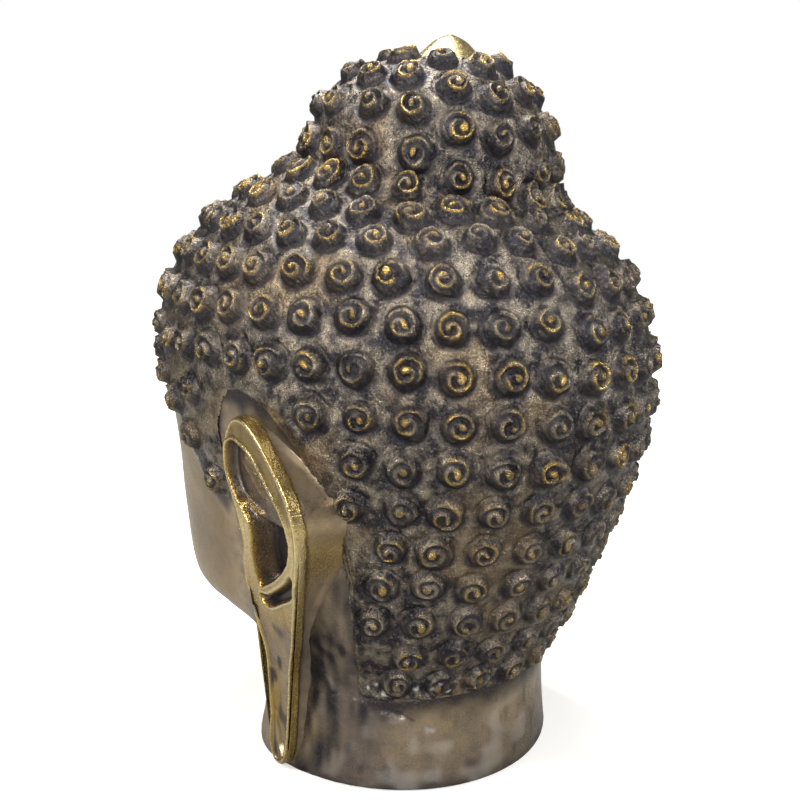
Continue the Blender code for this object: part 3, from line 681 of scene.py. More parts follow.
def row_places():
    """Middles of the curls in level rows: on the head, on the bun, then on the slope in front of the bun."""
    first = SKIN.run_at(NAPE_ROW)
    last = SKIN.run_at(CROWN_ROW)
    head = np.linspace(first, last, round((last - first) / CURL_ROW) + 1)
    bun = SKIN.run_at(BUN_ROW) + BUN_ROW_STEP * np.arange(BUN_ROWS)
    for run in (*head, *bun, SKIN.run_at(SLOPE_ROW)):
        count = round(2 * math.pi * float(SKIN.radius(run)) / CURL_PITCH)
        for i in range(count):
            yield COLUMN_START + 2 * math.pi * i / count, run


def spread_places():
    """Middles of all the curls, spread so that they keep their distance. The hair's front edge stays."""
    places = front_edge_places()
    fixed = len(places)
    points = list(SKIN.point(*np.transpose(places)))
    for angle, run in row_places():
        p = SKIN.point(angle, run)
        high = SKIN.level(run)[0] > hairline(angle) + CURL_RADIUS / 2
        if high and length(p - points).min() > NEAREST_START * CURL_PITCH:
            places.append((angle, run))
            points.append(p)
    places = np.array(places)
    for _ in range(PUSH_STEPS):
        angles, runs = places.T
        p = SKIN.point(angles, runs)
        along, up = level_axes(outward(angles, runs))
        apart = p[:, None] - p
        distance = length(apart) + TINY
        push = np.maximum(CURL_PITCH - distance, 0) / distance
        np.fill_diagonal(push, 0)
        move = PUSH_SHARE * (apart * push[..., None]).sum(1)
        step = np.stack([(move * along).sum(1) / SKIN.radius(runs), (move * up).sum(1)], -1)
        step[:fixed] = 0
        places = places + step
    return places


def make_curls():
    """Angle, run and radius of every curl. One that has too little room is made smaller or left out."""
    chance = np.random.default_rng(CURL_SEED)
    curls, middles = [], []
    for angle, run in spread_places():
        angle = angle + chance.uniform(-1, 1) * CURL_SHIFT / float(SKIN.radius(run))
        run = run + chance.uniform(-1, 1) * CURL_SHIFT
        # One more draw, because the solid's curls are also turned by chance
        chance.uniform()
        radius = CURL_RADIUS * chance.uniform(*CURL_SIZES)
        middle = clothed(angle, run)
        room = [length(middle - other) - curl[2] for other, curl in zip(middles, curls)]
        radius = min([radius, *(r - CURL_CLEARANCE for r in room)])
        if radius > SMALLEST_CURL * CURL_RADIUS and fits(angle, run, radius):
            curls.append((angle, run, radius))
            middles.append(middle)
    return curls


def brow_line(x):
    return BROW_TOP - ((x - BROW_X) / BROW_BEND) ** 2


def slit_line(x):
    return EYE_Z - SLIT_DROP + ((x - EYE_X) / SLIT_BEND) ** 2


def mouth_line(x):
    return MOUTH_Z + (x / MOUTH_BEND) ** 2


def eye_relief(x, z):
    width, height, depth = EYE_BALL
    ball = depth * np.sqrt(np.maximum(0, 1 - ((x - EYE_X) / width) ** 2 - ((z - EYE_Z) / height) ** 2))
    over = z - slit_line(x)
    folds = UPPER_LID * rise(over, 0, UPPER_LID_EDGE)
    for offset, half, height in (SLIT, LOWER_LID, LID_CREASE):
        folds += height * peak(over, offset, half)
    return ball + fall(np.abs(x - EYE_X), EYE_HALF, EYE_CORNER) * folds


def lens(x, half, power):
    """1 in the middle and 0 from the half width on."""
    return np.maximum(0, 1 - (x / half) ** 2) ** power


def mouth_relief(x, z):
    over = z - mouth_line(x)
    offset, half, height = UPPER_LIP
    bow = 1 - BOW_DIP * peak(x, 0, BOW_HALF)
    upper = height * lens(x, MOUTH_HALF, LIP_POWER) * bow * peak(over, offset, half)
    offset, half, height = LOWER_LIP
    lower = height * lens(x, LOWER_LIP_HALF, LIP_POWER) * peak(over, offset, half)
    half, depth = LIP_PARTING
    return upper + lower - depth * lens(x, MOUTH_HALF, 0.5) * peak(over, 0, half)


def face_relief(x, z):
    """How far the face stands out towards the front, over the bare skin. x and z are in units of U."""
    x = np.abs(x)
    square, softer, root, way = NOSE_SQUARE
    full = square - softer * rise(z, root, way)
    relief = smooth_curve(z, *NOSE_RIDGE.T) * np.exp(-((x / smooth_curve(z, *NOSE_WIDTH.T)) ** full))
    over = z - brow_line(x)
    relief += BROW_DEPTH * peak(over, 0, BROW_WIDTH) * fall(x, BROW_END, BROW_FADE)
    forehead = rise(over, 0, FOREHEAD_RISE) * fall(z, FOREHEAD_TOP, BROW_FADE) * peak(x, 0, FOREHEAD_HALF)
    relief += FOREHEAD_DEPTH * forehead
    for cx, cz, width, height, depth in FACE_SWELLS.values():
        relief += depth * bump(x, z, cx, cz, width, height)
    return relief + eye_relief(x, z) + mouth_relief(x, z)


def closed_curve(corners, count):
    """Places close together on a smooth closed line through the corners, with its outward directions."""
    closed = np.concatenate([corners[-2:], corners, corners[:3]]) * U
    way = travelled(length(np.diff(closed, axis=0)))
    fine = np.linspace(way[2], way[-3], count, endpoint=False)
    tangents = (closed[2:] - closed[:-2]) / (way[2:] - way[:-2])[:, None]
    i = np.searchsorted(way, fine, side="right") - 1
    gap = (way[i + 1] - way[i])[:, None]
    s = (fine - way[i])[:, None] / gap
    p = cubic(s, gap, closed[i], closed[i + 1], tangents[i - 1], tangents[i])
    along = unit(np.roll(p, -1, axis=0) - np.roll(p, 1, axis=0))
    return p, np.stack([-along[:, 1], along[:, 0]], -1)


def depth_inside(y, z, line, normals):
    """How deep places lie inside a closed line: above 0 inside it."""
    p = np.stack([y, z], -1)
    depth = np.empty(len(p))
    for i in range(0, len(p), CHUNK):
        d = p[i : i + CHUNK, None] - line
        distance = length(d)
        nearest = distance.argmin(1)
        side = np.take_along_axis((d * normals).sum(-1), nearest[:, None], 1)[:, 0]
        depth[i : i + CHUNK] = -np.sign(side) * distance.min(1)
    return depth


EAR_LINE, EAR_NORMALS = closed_curve(EAR_EDGE, EAR_COUNT)
HOLLOWS = {name: closed_curve(np.array(carved[0]), HOLLOW_COUNT) for name, carved in EAR_CARVING.items()}


def ear_gap(y, z):
    """Distance from the ear's edge, seen from the side: above 0 outside it."""
    return -depth_inside(y.ravel(), z.ravel(), EAR_LINE, EAR_NORMALS).reshape(y.shape)


def ear_foot():
    """Places round the ear where its wall meets the head. The wall spreads behind the ear's upper half."""
    spread = np.maximum(0, EAR_NORMALS[:, 0]) * peak(EAR_LINE[:, 1], BUTTRESS_Z, BUTTRESS_HALF)
    return EAR_LINE + (EAR_FOOT + EAR_BUTTRESS * spread)[:, None] * EAR_NORMALS


def noise(p, size, seed):
    """Smooth noise from -1 to 1 over the points p, whose lumps are about the given size."""
    q = p / size
    cell = np.floor(q).astype(np.int64)
    f = smooth_step(q - cell)
    total = np.zeros(p.shape[:-1])
    for corner in itertools.product((0, 1), repeat=3):
        x, y, z = np.moveaxis((cell + corner) * HASH_AXES, -1, 0)
        h = (x ^ y ^ z ^ (seed * HASH_SEED)) & HASH_MASK
        h = ((h ^ (h >> 13)) * HASH_MIX) & HASH_MASK
        value = ((h ^ (h >> 16)) & 0xFFFF) / 32767.5 - 1
        total += value * np.prod(np.where(corner, f, 1 - f), axis=-1)
    return total


def layered(p, layers):
    """Sum of noises, each by size in U, seed and height."""
    return sum(height * noise(p, size * U, seed) for size, seed, height in layers)


def patchy(p, size, seed, hard, cover, flat=1):
    """Patches from 0 to 1."""
    return smooth_step(noise(p * (1, 1, flat), size * U, seed) * hard + cover)


class CurlField:
    """All the curls' relief over the hair, as snail shells that wind up to a knob."""

    def __init__(self, curls):
        angles, runs, self.radius = np.transpose(curls)
        self.middle = clothed(angles, runs)
        self.out = outward(angles, runs)
        self.along, self.up = level_axes(self.out)
        chance = np.random.default_rng(CARVING_SEED)
        count = len(curls)
        self.hand = np.where(chance.uniform(size=count) < LEFT_HANDED, 1, -1)
        self.start = -math.pi / 2 + self.hand * START_TURN + chance.normal(0, START_SPREAD, count)
        self.end = self.start + self.hand * 2 * math.pi * RING_TURNS
        high = rise(self.middle[:, 2], SHALLOW_BELOW, DEEP_ABOVE - SHALLOW_BELOW)
        self.height = CURL_HEIGHT * (0.78 + 0.2 * high) * chance.uniform(*HEIGHTS, count)
        self.crisp = np.clip(chance.normal(*CRISPNESS, count) * (0.75 + 0.25 * high), 0.1, 1.15)
        self.shift = chance.normal(0, SHIFT_SPREAD, (count, 2)) + MIDDLE_SHIFT
        self.rub = chance.uniform(*RUBS, count)
        self.cone = 0.16 + 0.2 * high * chance.uniform(*CONES, count)
        self.knob = KNOB * chance.uniform(*KNOBS, count)
        self.oval = chance.uniform(*OVALS, count)

    def nearest(self, p):
        index = np.empty(len(p), int)
        for i in range(0, len(p), CHUNK):
            index[i : i + CHUNK] = (length(p[i : i + CHUNK, None] - self.middle) - self.radius).argmin(1)
        return index

    def coil(self, i, u, v):
        """The coil's ridge, 1 on its crest, at places in shares of the curl's radius."""
        rho = np.hypot(u, v)
        turn = (self.hand[i] * (np.arctan2(v, u) - self.start[i])) % (2 * math.pi) / (2 * math.pi)
        ridge = np.zeros_like(rho)
        for lap in (0, 1):
            gone = (turn + lap) / RING_TURNS
            line = RING_START - (RING_START - RING_END) * gone**RING_POWER
            fade = rise(gone, 0, RING_FADE_IN) * fall(gone, 1, RING_FADE_OUT)
            ridge = np.maximum(ridge, fade * peak(rho, line, RING_HALF * (1 + RING_GROWTH * gone)))
        return ridge

    def core(self, i, u, v):
        """The knob at the coil's end, an oval."""
        across, along = u - RING_END * np.cos(self.end[i]), v - RING_END * np.sin(self.end[i])
        turned = np.arctan2(along, across) - self.end[i]
        rho = np.hypot(across, along) * np.hypot(np.cos(turned) / self.oval[i], np.sin(turned))
        return fall(rho, self.knob[i] + KNOB_EDGE[0], KNOB_EDGE[1])

    def relief(self, p):
        """For places on the hair: height, way it stands out, how rubbed, how dark with patina and painted
        shade, and how near a curl.
        """
        i = self.nearest(p)
        d = p - self.middle[i]
        lump = 1 + layered(p, CURL_LUMPS)
        u = (d * self.along[i]).sum(-1) / self.radius[i] * lump
        v = (d * self.up[i]).sum(-1) / self.radius[i] * lump
        outer = np.hypot(u, v)
        low = fall(v, 0.15, 0.8)
        inward = fall(outer, 1, 0.7)
        u = u - self.shift[i, 0] * inward
        v = v - self.shift[i, 1] * inward
        rho = np.hypot(u, v)
        ridge, core, body = self.coil(i, u, v), self.core(i, u, v), fall(outer, *BODY_EDGE)
        floor = GROOVE_FLOOR + self.cone[i] * (1 - rho) + BLUNT_FLOOR * (1 - self.crisp[i])
        shape = (floor + RIDGE_HEIGHT * self.crisp[i] * ridge) * (1 - core) + KNOB_HEIGHT * core
        height = self.height[i] * body * shape - MOAT_DEPTH * peak(outer, *MOAT)
        crest = ridge**2 * rise(outer, 0.3, 0.2) * (0.7 + 0.3 * low) * self.crisp[i]
        worn = self.rub[i] * patchy(p, *CURL_WEAR)
        rub = np.maximum((0.22 + 0.4 * worn) * core, (0.25 + 0.85 * worn) * crest)
        groove = (1 - ridge) ** 1.5 * (1 - core) * body * fall(rho, 0.9, 0.12)
        # The flank and the halo hold painted shade, darkest on the curl's lower side, where the curl
        # overhangs
        flank = peak(outer, *FLANK) * (0.65 + 0.35 * low)
        halo = fall(outer, *HALO_EDGE) * rise(outer, 0.9, 0.1) * (0.3 + 0.6 * low)
        return height, self.out[i], rub, np.maximum.reduce([groove, flank, halo]), fall(outer, *NEAR_EDGE)


def add_marks(p, values):
    """Darkens the casting's creases, chips and cracks, and returns how deep they cut."""
    cut = np.zeros(p.shape[:-1])
    for start, end, half, depth, soot, chalk in CASTING_MARKS:
        a, b = (SKIN.point(math.radians(angle), SKIN.run_at(z * U)) for angle, z in (start, end))
        s = np.clip(((p - a) * (b - a)).sum(-1) / ((b - a) ** 2).sum(), 0, 1)
        gap = length(p - a - s[..., None] * (b - a)) / U
        near = peak(gap * (1 + layered(p, MARK_WANDER)), 0, half)
        cut += depth * near
        values["soot"] = np.maximum(values["soot"] * (1 - near * chalk), soot * near)
        values["chalk"] = np.maximum(values["chalk"], chalk * near)
    return cut


def hair_surface(angles, runs):
    """Points of the hair with its curls, and their colour values."""
    ground = SKIN.point(angles, runs)
    z = SKIN.level(runs)[0]
    uneven = layered(ground, HAIR_WANDER) * U
    edge = hairline(angles) + uneven
    nearby = [hairline(angles + turn) + uneven for turn in EDGE_BLUR]
    share = np.mean([smooth_step((z - line) / FINE_HAIR_EDGE + 0.5) for line in nearby], axis=0)
    top = below_jewel(runs)
    cover = share * top
    normal = outward(angles, runs)
    middle = ground + (HAIR_THICKNESS * cover)[..., None] * normal
    height, way, rub, dark, near = CURLS.relief(middle.reshape(-1, 3))
    height, rub, dark, near = (a.reshape(angles.shape) for a in (height, rub, dark, near))
    way = normal + (near * cover)[..., None] * (way.reshape(middle.shape) - normal)
    lift = (HAIR_THICKNESS + HAIR_SINK) * cover - HAIR_SINK * top
    lift += height * cover + layered(middle, HAIR_GRAIN) * U * cover * (1 - 0.5 * near)
    chalk = peak(z, edge + CHALK_BAND, CHALK_BAND) * patchy(middle, *CHALK_SPECKS)
    values = {
        "rub": rub * cover + 0.68 * (1 - top),
        "soot": dark * cover,
        "grain": 0.15 + 0.85 * cover,
        "chalk": chalk * fall(z, *CHALK_TOP) * share,
    }
    lift -= add_marks(middle, values) * U
    return ground + lift[..., None] * way, values


def drawn(distance, strength, half):
    """A line's strength at a distance from it."""
    return strength * peak(distance, 0, half)


def face_lines(x, z):
    """How strongly the face's fine lines are darkened: along the lids, under the brows, round the nose's
    wings and nostrils, and along the lips.
    """
    x = np.abs(x)
    over = z - slit_line(x)
    lids = np.maximum(drawn(over, *SLIT_LINE), drawn(over - LID_CREASE[0], *CREASE_LINE))
    lids *= fall(np.abs(x - EYE_X), EYE_HALF + 1.5, 3)
    brow = drawn(z - brow_line(x) + BROW_WIDTH, *BROW_LINE) * fall(x, BROW_END, BROW_FADE)
    out, up = x - WING[0], z - WING[1]
    fold = drawn(np.hypot(out, up) - WING[2], *WING_LINE)
    fold *= smooth_step(out / 3 + 0.5) * smooth_step(up / 4 + 1)
    lips = drawn(z - mouth_line(x), *LIP_LINE) * fall(x, MOUTH_HALF + 1, 2.5)
    return np.maximum.reduce([lids, brow, fold, bump(x, z, *NOSTRIL), lips])


def skin_surface(angles, runs):
    """Points of the bare neck and face, and their colour values."""
    p = SKIN.point(angles, runs)
    normal = outward(angles, runs)
    x, y, z = np.moveaxis(p, -1, 0) / U
    wide = np.abs(x)
    front = smooth_step(-y / FACE_FADE)
    lines = face_lines(x, z) * front
    relief = face_relief(x, z) * front - FACE_LINE_DEPTH * lines
    ledge = -LEDGE_DEPTH * rise(z, *LEDGE_FOOT) * fall(z, *LEDGE_TOP) * (1 - front)
    foot = np.maximum(0, 1 - z / EDGE_ROUND)
    rounding = -EDGE_ROUND * (1 - np.sqrt(np.maximum(0, 1 - foot**2)))
    p = p + ((layered(p, SKIN_DENTS) * rise(z, 0, 4) + ledge + rounding) * U)[..., None] * normal
    p[..., 1] -= relief * U
    wandering = z + layered(p, STAIN_WANDER)
    # Painted shadow under the hair's overhanging edge, wider on the neck than on the face; its grain is
    # pitted patina
    near_hair = peak(wandering, hairline(angles) / U - 1, 5.5 + 3 * (1 - front))
    stains = patchy(p, *NECK_STAINS) * (1 - 0.75 * front)
    # Darker towards the neck's cut, less under the face
    darker_at_foot = peak(wandering, -1, 6) * (1 - 0.6 * front)
    mottled = (0.16 + layered(p, NECK_MOTTLE)) * (1 - front)
    gap = ear_gap(y * U, z * U) / U
    beside = peak(gap, 0, BESIDE_EAR) * rise(wide, *BESIDE_X) * peak(z, *BESIDE_Z) * (1 - front)
    # Painted shadow on the neck behind the ear, streaked and craggy, thinner low down and away from the ear
    behind = rise(y, *BEHIND_Y) * rise(wide, *BEHIND_X) * fall(z, *BEHIND_TOP)
    behind *= 0.85 + layered(p * (1, 1, 0.25), WALL_STREAKS)
    behind *= 1 - 0.55 * fall(z, *THIN_BELOW) * rise(gap, *THIN_BEYOND)
    clear = 1 - np.clip(behind, 0, 1)
    touched = 0.25 * bump(x, z, *NOSE_TOUCHED) + 0.15 * bump(wide, z, *LIPS_TOUCHED)
    # Darkening: painted shadow under the hair and behind the ear, the face's darkened lines, stains, the
    # darker foot and the face's darker tone
    stained_and_shaded = (0.85 * near_hair, 0.8 * lines, 0.7 * behind, 0.6 * stains, 0.75 * darker_at_foot, 0.28 * front)
    values = {
        "rub": (0.24 + touched) * front + 0.3 * beside,
        "soot": np.maximum.reduce(stained_and_shaded),
        "grain": np.maximum.reduce([0.35 * near_hair, 0.4 * behind, mottled]),
        # Pale patches low on the neck: a painted highlight, kept off the face, the hair's edge and the shadow
        # behind the ear
        "chalk": 0.24 * patchy(p, *NECK_PALE) * (1 - front) * (1 - near_hair) * clear * fall(z, *PALE_TOP),
    }
    craggy = (1 - clear) * layered(p * (1, 1, 0.5), WALL_CRAGS)
    return p - ((add_marks(p, values) + craggy) * U)[..., None] * normal, values


def add_object(name, data):
    made = bpy.data.objects.new(name, data)
    bpy.context.scene.collection.objects.link(made)
    return made


def make_piece(name, points, faces, normals, values):
    """A piece of the head, kept inside the solid's box."""
    mesh = bpy.data.meshes.new(name)
    mesh.from_pydata(np.clip(points, *CAD_BOX), [], faces)
    mesh.polygons.foreach_set("use_smooth", np.ones(len(mesh.polygons), bool))
    for key, value in values.items():
        own = mesh.attributes.new(key, "FLOAT", "POINT")
        own.data.foreach_set("value", np.ascontiguousarray(value, np.float32))
    if normals is not None:
        mesh.normals_split_custom_set_from_vertices(normals)
    mesh.materials.append(BRONZE)
    piece = add_object(name, mesh)
    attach(piece, "root")
    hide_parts(NODE)


def grid_piece(name, surface, angles, runs, keep=None, tip=False, base=False):
    """A piece from a grid of angles by runs, less the cells that keep leaves out."""
    a_step, r_step = angles[1] - angles[0], runs[1] - runs[0]
    wide = np.concatenate([[angles[0] - a_step], angles, [angles[-1] + a_step]])
    tall = np.concatenate([[runs[0] - r_step], runs, [runs[-1] + r_step]])
    a, r = np.meshgrid(wide, np.clip(tall, 0, SKIN.top))
    p, values = surface(a, r)
    normals = np.cross(p[2:, 1:-1] - p[:-2, 1:-1], p[1:-1, 2:] - p[1:-1, :-2]).reshape(-1, 3)
    normals = unit(normals)
    rows, columns = len(runs), len(angles)
    ids = np.arange(rows * columns).reshape(rows, columns)
    if abs(angles[-1] - angles[0] - 2 * math.pi) < TINY:
        ids[:, -1] = ids[:, 0]
    quads = np.stack([ids[:-1, :-1], ids[1:, :-1], ids[1:, 1:], ids[:-1, 1:]], -1).reshape(-1, 4)
    if keep is not None:
        kept = keep(a[1:-1, 1:-1], r[1:-1, 1:-1])
        cell = kept[:-1, :-1] | kept[:-1, 1:] | kept[1:, 1:] | kept[1:, :-1]
        quads = quads[cell.reshape(-1)]
    used, corners = np.unique(quads, return_inverse=True)
    place = dict(zip(used.tolist(), range(len(used))))
    faces = corners.reshape(-1, 4).tolist()
    points, normals = p[1:-1, 1:-1].reshape(-1, 3)[used], normals[used]
    values = {key: value[1:-1, 1:-1].reshape(-1)[used] for key, value in values.items()}
    if base:
        faces.append([place[i] for i in ids[0, :-1].tolist()])
    if tip:
        faces += [[place[ids[-1, i + 1]], place[ids[-1, i]], len(points)] for i in range(columns - 1)]
        points = np.concatenate([points, SKIN.point(0.0, SKIN.top)[None] - (0, 0, TIP_LOSS)])
        normals = np.concatenate([normals, [[0, 0, 1]]])
        values = {key: np.append(value, value[-1]) for key, value in values.items()}
    make_piece(name, points, faces, normals, values)


def ridge_gap(y, z, ends):
    """Distance of places from a straight ridge, in U."""
    (ay, az), (by, bz) = ends
    squared = (by - ay) ** 2 + (bz - az) ** 2
    s = np.clip(((y - ay) * (by - ay) + (z - az) * (bz - az)) / squared, 0, 1)
    return np.hypot(y - ay - s * (by - ay), z - az - s * (bz - az))


def ear_carving(y, z):
    """The ear's outer side at places seen from the side: X, and how rubbed and how dark it is."""
    inside = depth_inside(y, z, EAR_LINE, EAR_NORMALS) / U
    deep = {name: depth_inside(y, z, *line) / U for name, line in HOLLOWS.items()}
    high = z / U
    relief = -EAR_EDGE_ROUND * (1 - np.sqrt(1 - (1 - np.clip(inside / EAR_EDGE_ROUND, 0, 1)) ** 2))
    lobe = fall(high, LOBE_TOP, LOBE_FADE)
    bowl = fall(high, SHELF_Z, 5) * smooth_step(deep["well"] / 4)
    band = rise(inside, 1, 1.4) * smooth_step(-deep["well"] / 1.2)
    relief -= band * (1.1 * lobe + 0.6 * (1 - lobe))
    hollowed = np.zeros_like(y)
    lip = np.zeros_like(y)
    for name, (_, depth, wall) in EAR_CARVING.items():
        full = depth + BOWL_DEPTH * bowl if name == "well" else depth
        relief -= full * smooth_step(deep[name] / wall)
        hollowed = np.maximum(hollowed, smooth_step(deep[name] / (0.7 * wall)))
        lip = np.maximum(lip, peak(deep[name], LIP_OFFSET, LIP_HALF) * (SLIT_LIP if name == "slit" else 1))
    ridge = peak(ridge_gap(y / U, high, LEAF_RIDGE), 0, LEAF_HALF) * hollowed
    shelf = peak(ridge_gap(y / U, high, SHELF_RIDGE), 0, SHELF_HALF) * hollowed
    places = np.stack([0 * y, y, z], -1)
    relief += 0.5 * lip + LEAF_HEIGHT * ridge + SHELF_HEIGHT * shelf + layered(places, EAR_DENTS)
    edge = peak(inside, 0.9, 0.9)
    front = fall(y / U, 12, 9)
    worn = 0.04 + 0.44 * patchy(places, *EAR_PATCHES) * (0.45 + 0.55 * front)
    face = (0.48 + 0.26 * peak(high, *FACE_BRIGHT)) * (1 - lobe) + lobe * worn
    rub = np.maximum.reduce([0.85 * edge, 0.85 * lip, face])
    rub = np.where(hollowed > 0, rub * (1 - hollowed) + hollowed * np.maximum(0.3 * ridge, 0.5 * shelf), rub)
    soot = hollowed * np.maximum(0.35, np.maximum(0.95 * bowl, 0.8 * smooth_step(deep["notch"])))
    soot = soot * (1 - 0.8 * ridge) * (1 - 0.6 * shelf)
    stains = patchy(places, *EAR_STAINS)
    aged = 0.42 * rise(high, *EAR_TOP_AGED) + 0.6 * lobe * stains + 0.25 * stains
    soot = np.maximum(soot, aged * (1 - edge) * (1 - lip))
    side = smooth_curve(high, *EAR_SIDE.T) * U + EAR_FLARE * (y - EAR_MIDDLE)
    return side + relief * U, rub, soot


def ear_net():
    """Places inside the ear's edge, in a close triangular net, seen from the side."""
    low, high = EAR_LINE.min(0), EAR_LINE.max(0)
    places = []
    for i, z in enumerate(np.arange(low[1], high[1], EAR_STEP * math.sqrt(3) / 2)):
        y = np.arange(low[0] + (i % 2) * EAR_STEP / 2, high[0], EAR_STEP)
        places.append(np.stack([y, np.full_like(y, z)], -1))
    places = np.concatenate(places)
    return places[depth_inside(*places.T, EAR_LINE, EAR_NORMALS) > NET_DEPTH]


def ear_wall(edge):
    """Rings of the wall from the ear's edge to the head, with how rubbed and how dark each one is. A painted
    highlight runs along the upper wall's joint with the head, and painted shade darkens its foot and lower
    part.
    """
    angles, runs = SKIN.place_by_y(*ear_foot().T)
    sunk = SKIN.point(angles, runs) - WALL_SINK * outward(angles, runs)
    bend = sunk.copy()
    bend[:, 0] += WALL_BULGE * (edge[:, 0] - sunk[:, 0])
    bend[:, 1:] = edge[:, 1:]
    high = edge[:, 2] / U
    straight = STRAIGHT_SHARE * rise(high, *STRAIGHT_FROM) * rise(EAR_NORMALS[:, 0], 0, 0.3)
    bend += straight[:, None] * ((edge + sunk) / 2 - bend)
    deep = edge[:, 0] - sunk[:, 0]
    upper = rise(high, *WALL_UPPER)
    for s in np.linspace(0, 1, WALL_STEPS + 1)[1:]:
        ring = edge * (1 - s) ** 2 + 2 * s * (1 - s) * bend + s * s * sunk
        gone = edge[:, 0] - ring[:, 0]
        strip = smooth_step((RIM_STRIP - gone) / STRIP_EDGE + 0.5)
        inset = WALL_INSET * (1 - strip) * smooth_step((deep - gone) / INSET_WAY)
        ring[:, 1:] -= inset[:, None] * EAR_NORMALS
        rim = strip * (0.55 + 0.15 * peak(high, *RIM_BRIGHT))
        # A painted highlight along the upper wall's joint with the head
        joint_highlight = 0.8 * peak(s, 1, 0.06) * upper
        rub = np.maximum(rim, joint_highlight + 0.34 * peak(high, *WALL_BRIGHT))
        # Painted shade at the wall's foot and on its lower part
        soot = np.maximum(0.7 * peak(s, 1, 0.3), 0.45 * fall(high, *WALL_LOW) * (1 - strip))
        yield ring, rub, (1 - upper) * soot


def ear_pieces():
    """Both ears, each with its wall, which dips a little into the head at its foot."""
    count = len(EAR_LINE)
    loops = [EAR_LINE - d * U * EAR_NORMALS for d in RIM_LOOPS]
    places = np.concatenate([*loops, ear_net()])
    edges = [(i, (i + 1) % count) for i in range(count)]
    mapped = delaunay_2d_cdt([tuple(p) for p in places], edges, [], 1, TINY, True)
    order = [ids[0] for ids in mapped[3]]
    triangles = np.array([[order[i] for i in face] for face in mapped[2]])
    y, z = places.T
    x, rub, soot = ear_carving(y, z)
    top = np.stack([x, y, z], -1)
    points, rubs_and_glints, soot_and_shade_parts = zip((top, rub, soot), *ear_wall(top[:count]))
    rings = [np.arange(count)] + [len(places) + k * count + np.arange(count) for k in range(WALL_STEPS)]
    walls = [np.stack([a, np.roll(a, -1), np.roll(b, -1), b], -1) for a, b in zip(rings[:-1], rings[1:])]
    points = np.concatenate(points)
    rough = 0.1 + 0.35 * peak(z / U, *WALL_ROUGH)
    grain = np.concatenate([rough, *(0.02 + 0.45 * np.minimum(1, r) for r in rubs_and_glints[1:])])
    values = {"rub": np.concatenate(rubs_and_glints), "soot": np.concatenate(soot_and_shade_parts), "grain": grain, "chalk": 0 * grain}
    for name, side in (("ear_left", 1), ("ear_right", -1)):
        faces = [face[::side].tolist() for face in (*triangles, *np.concatenate(walls))]
        make_piece(name, points * (side, 1, 1), faces, None, values)


def head_pieces():
    """The hair in two pieces, the bun with its jewel, and the neck with the face."""
    def haired(angles, runs):
        return SKIN.level(runs)[0] > hairline(angles) - HAIR_OVERLAP

    def bare(angles, runs):
        _, y, z = np.moveaxis(SKIN.point(angles, runs), -1, 0)
        return (SKIN.level(runs)[0] < hairline(angles) + SKIN_OVERLAP) & (ear_gap(y, z) > -EAR_OVERLAP)

    def steps(first, last, wide, step):
        return np.linspace(first, last, round((last - first) * wide / step) + 1)

    start, last = SKIN.run_at(HAIRLINE[:, 1].min() * U - ROWS_BELOW), SKIN.run_at(BUN_START)
    rows = steps(start, last, 1, HAIR_STEP)
    widest = LEVELS[:, 2].max() * U
    near, far = (math.radians(angle) for angle in FINE_SECTOR)
    grid_piece("hair_left", hair_surface, steps(near, far, widest, HAIR_STEP), rows, keep=haired)
    rest = steps(far, near + 2 * math.pi, widest, HIDDEN_STEP)
    grid_piece("hair_right", hair_surface, rest, rows, keep=haired)
    rows = np.linspace(last, SKIN.top - TIP_GAP, round((SKIN.top - last) / BUN_STEP) + 1)
    round_bun = steps(0, 2 * math.pi, SKIN.radius(last), BUN_STEP)
    grid_piece("bun", hair_surface, round_bun, rows, tip=True)
    rows = steps(0, SKIN.run_at(HAIRLINE[:, 1].max() * U + ROWS_ABOVE), 1, SKIN_ROW)
    side, end = (math.radians(angle) for angle in FACE_SECTOR)
    back = steps(0, side, SKIN_WIDTH, SKIN_STEP)
    face = steps(side, end, SKIN_WIDTH, FACE_STEP)[1:-1]
    around = np.concatenate([back, face, 2 * math.pi - back[::-1]])
    grid_piece("neck_and_face", skin_surface, around, rows, keep=bare, base=True)


def node(tree, kind, output, sockets, **settings):
    """Adds a node and returns one of its outputs. Its sockets take other nodes' outputs or plain values."""
    made = tree.nodes.new("ShaderNode" + kind)
    for key, value in settings.items():
        setattr(made, key, value)
    for key, value in sockets.items():
        if isinstance(value, bpy.types.NodeSocket):
            tree.links.new(value, made.inputs[key])
        else:
            made.inputs[key].default_value = value
    return made.outputs[output]


def spread(tree, source, low, high, start=0.0, end=1.0):
    """Turns the source's values from low to high into values from start to end."""
    sockets = {"Value": source, "From Min": low, "From Max": high, "To Min": start, "To Max": end}
    return node(tree, "MapRange", "Result", sockets, clamp=True)


def show_to_camera(tree, seen, unseen, output):
    """Shows one shader to the camera, and the other to what mirrors it or is lit by it."""
    ray = node(tree, "LightPath", "Is Camera Ray", {})
    both = node(tree, "MixShader", 0, {0: ray, 1: unseen, 2: seen})
    tree.links.new(both, tree.nodes[output].inputs["Surface"])


def new_material(name):
    material = bpy.data.materials.new(name)
    material.use_nodes = True
    return material, material.node_tree, material.node_tree.nodes["Principled BSDF"]


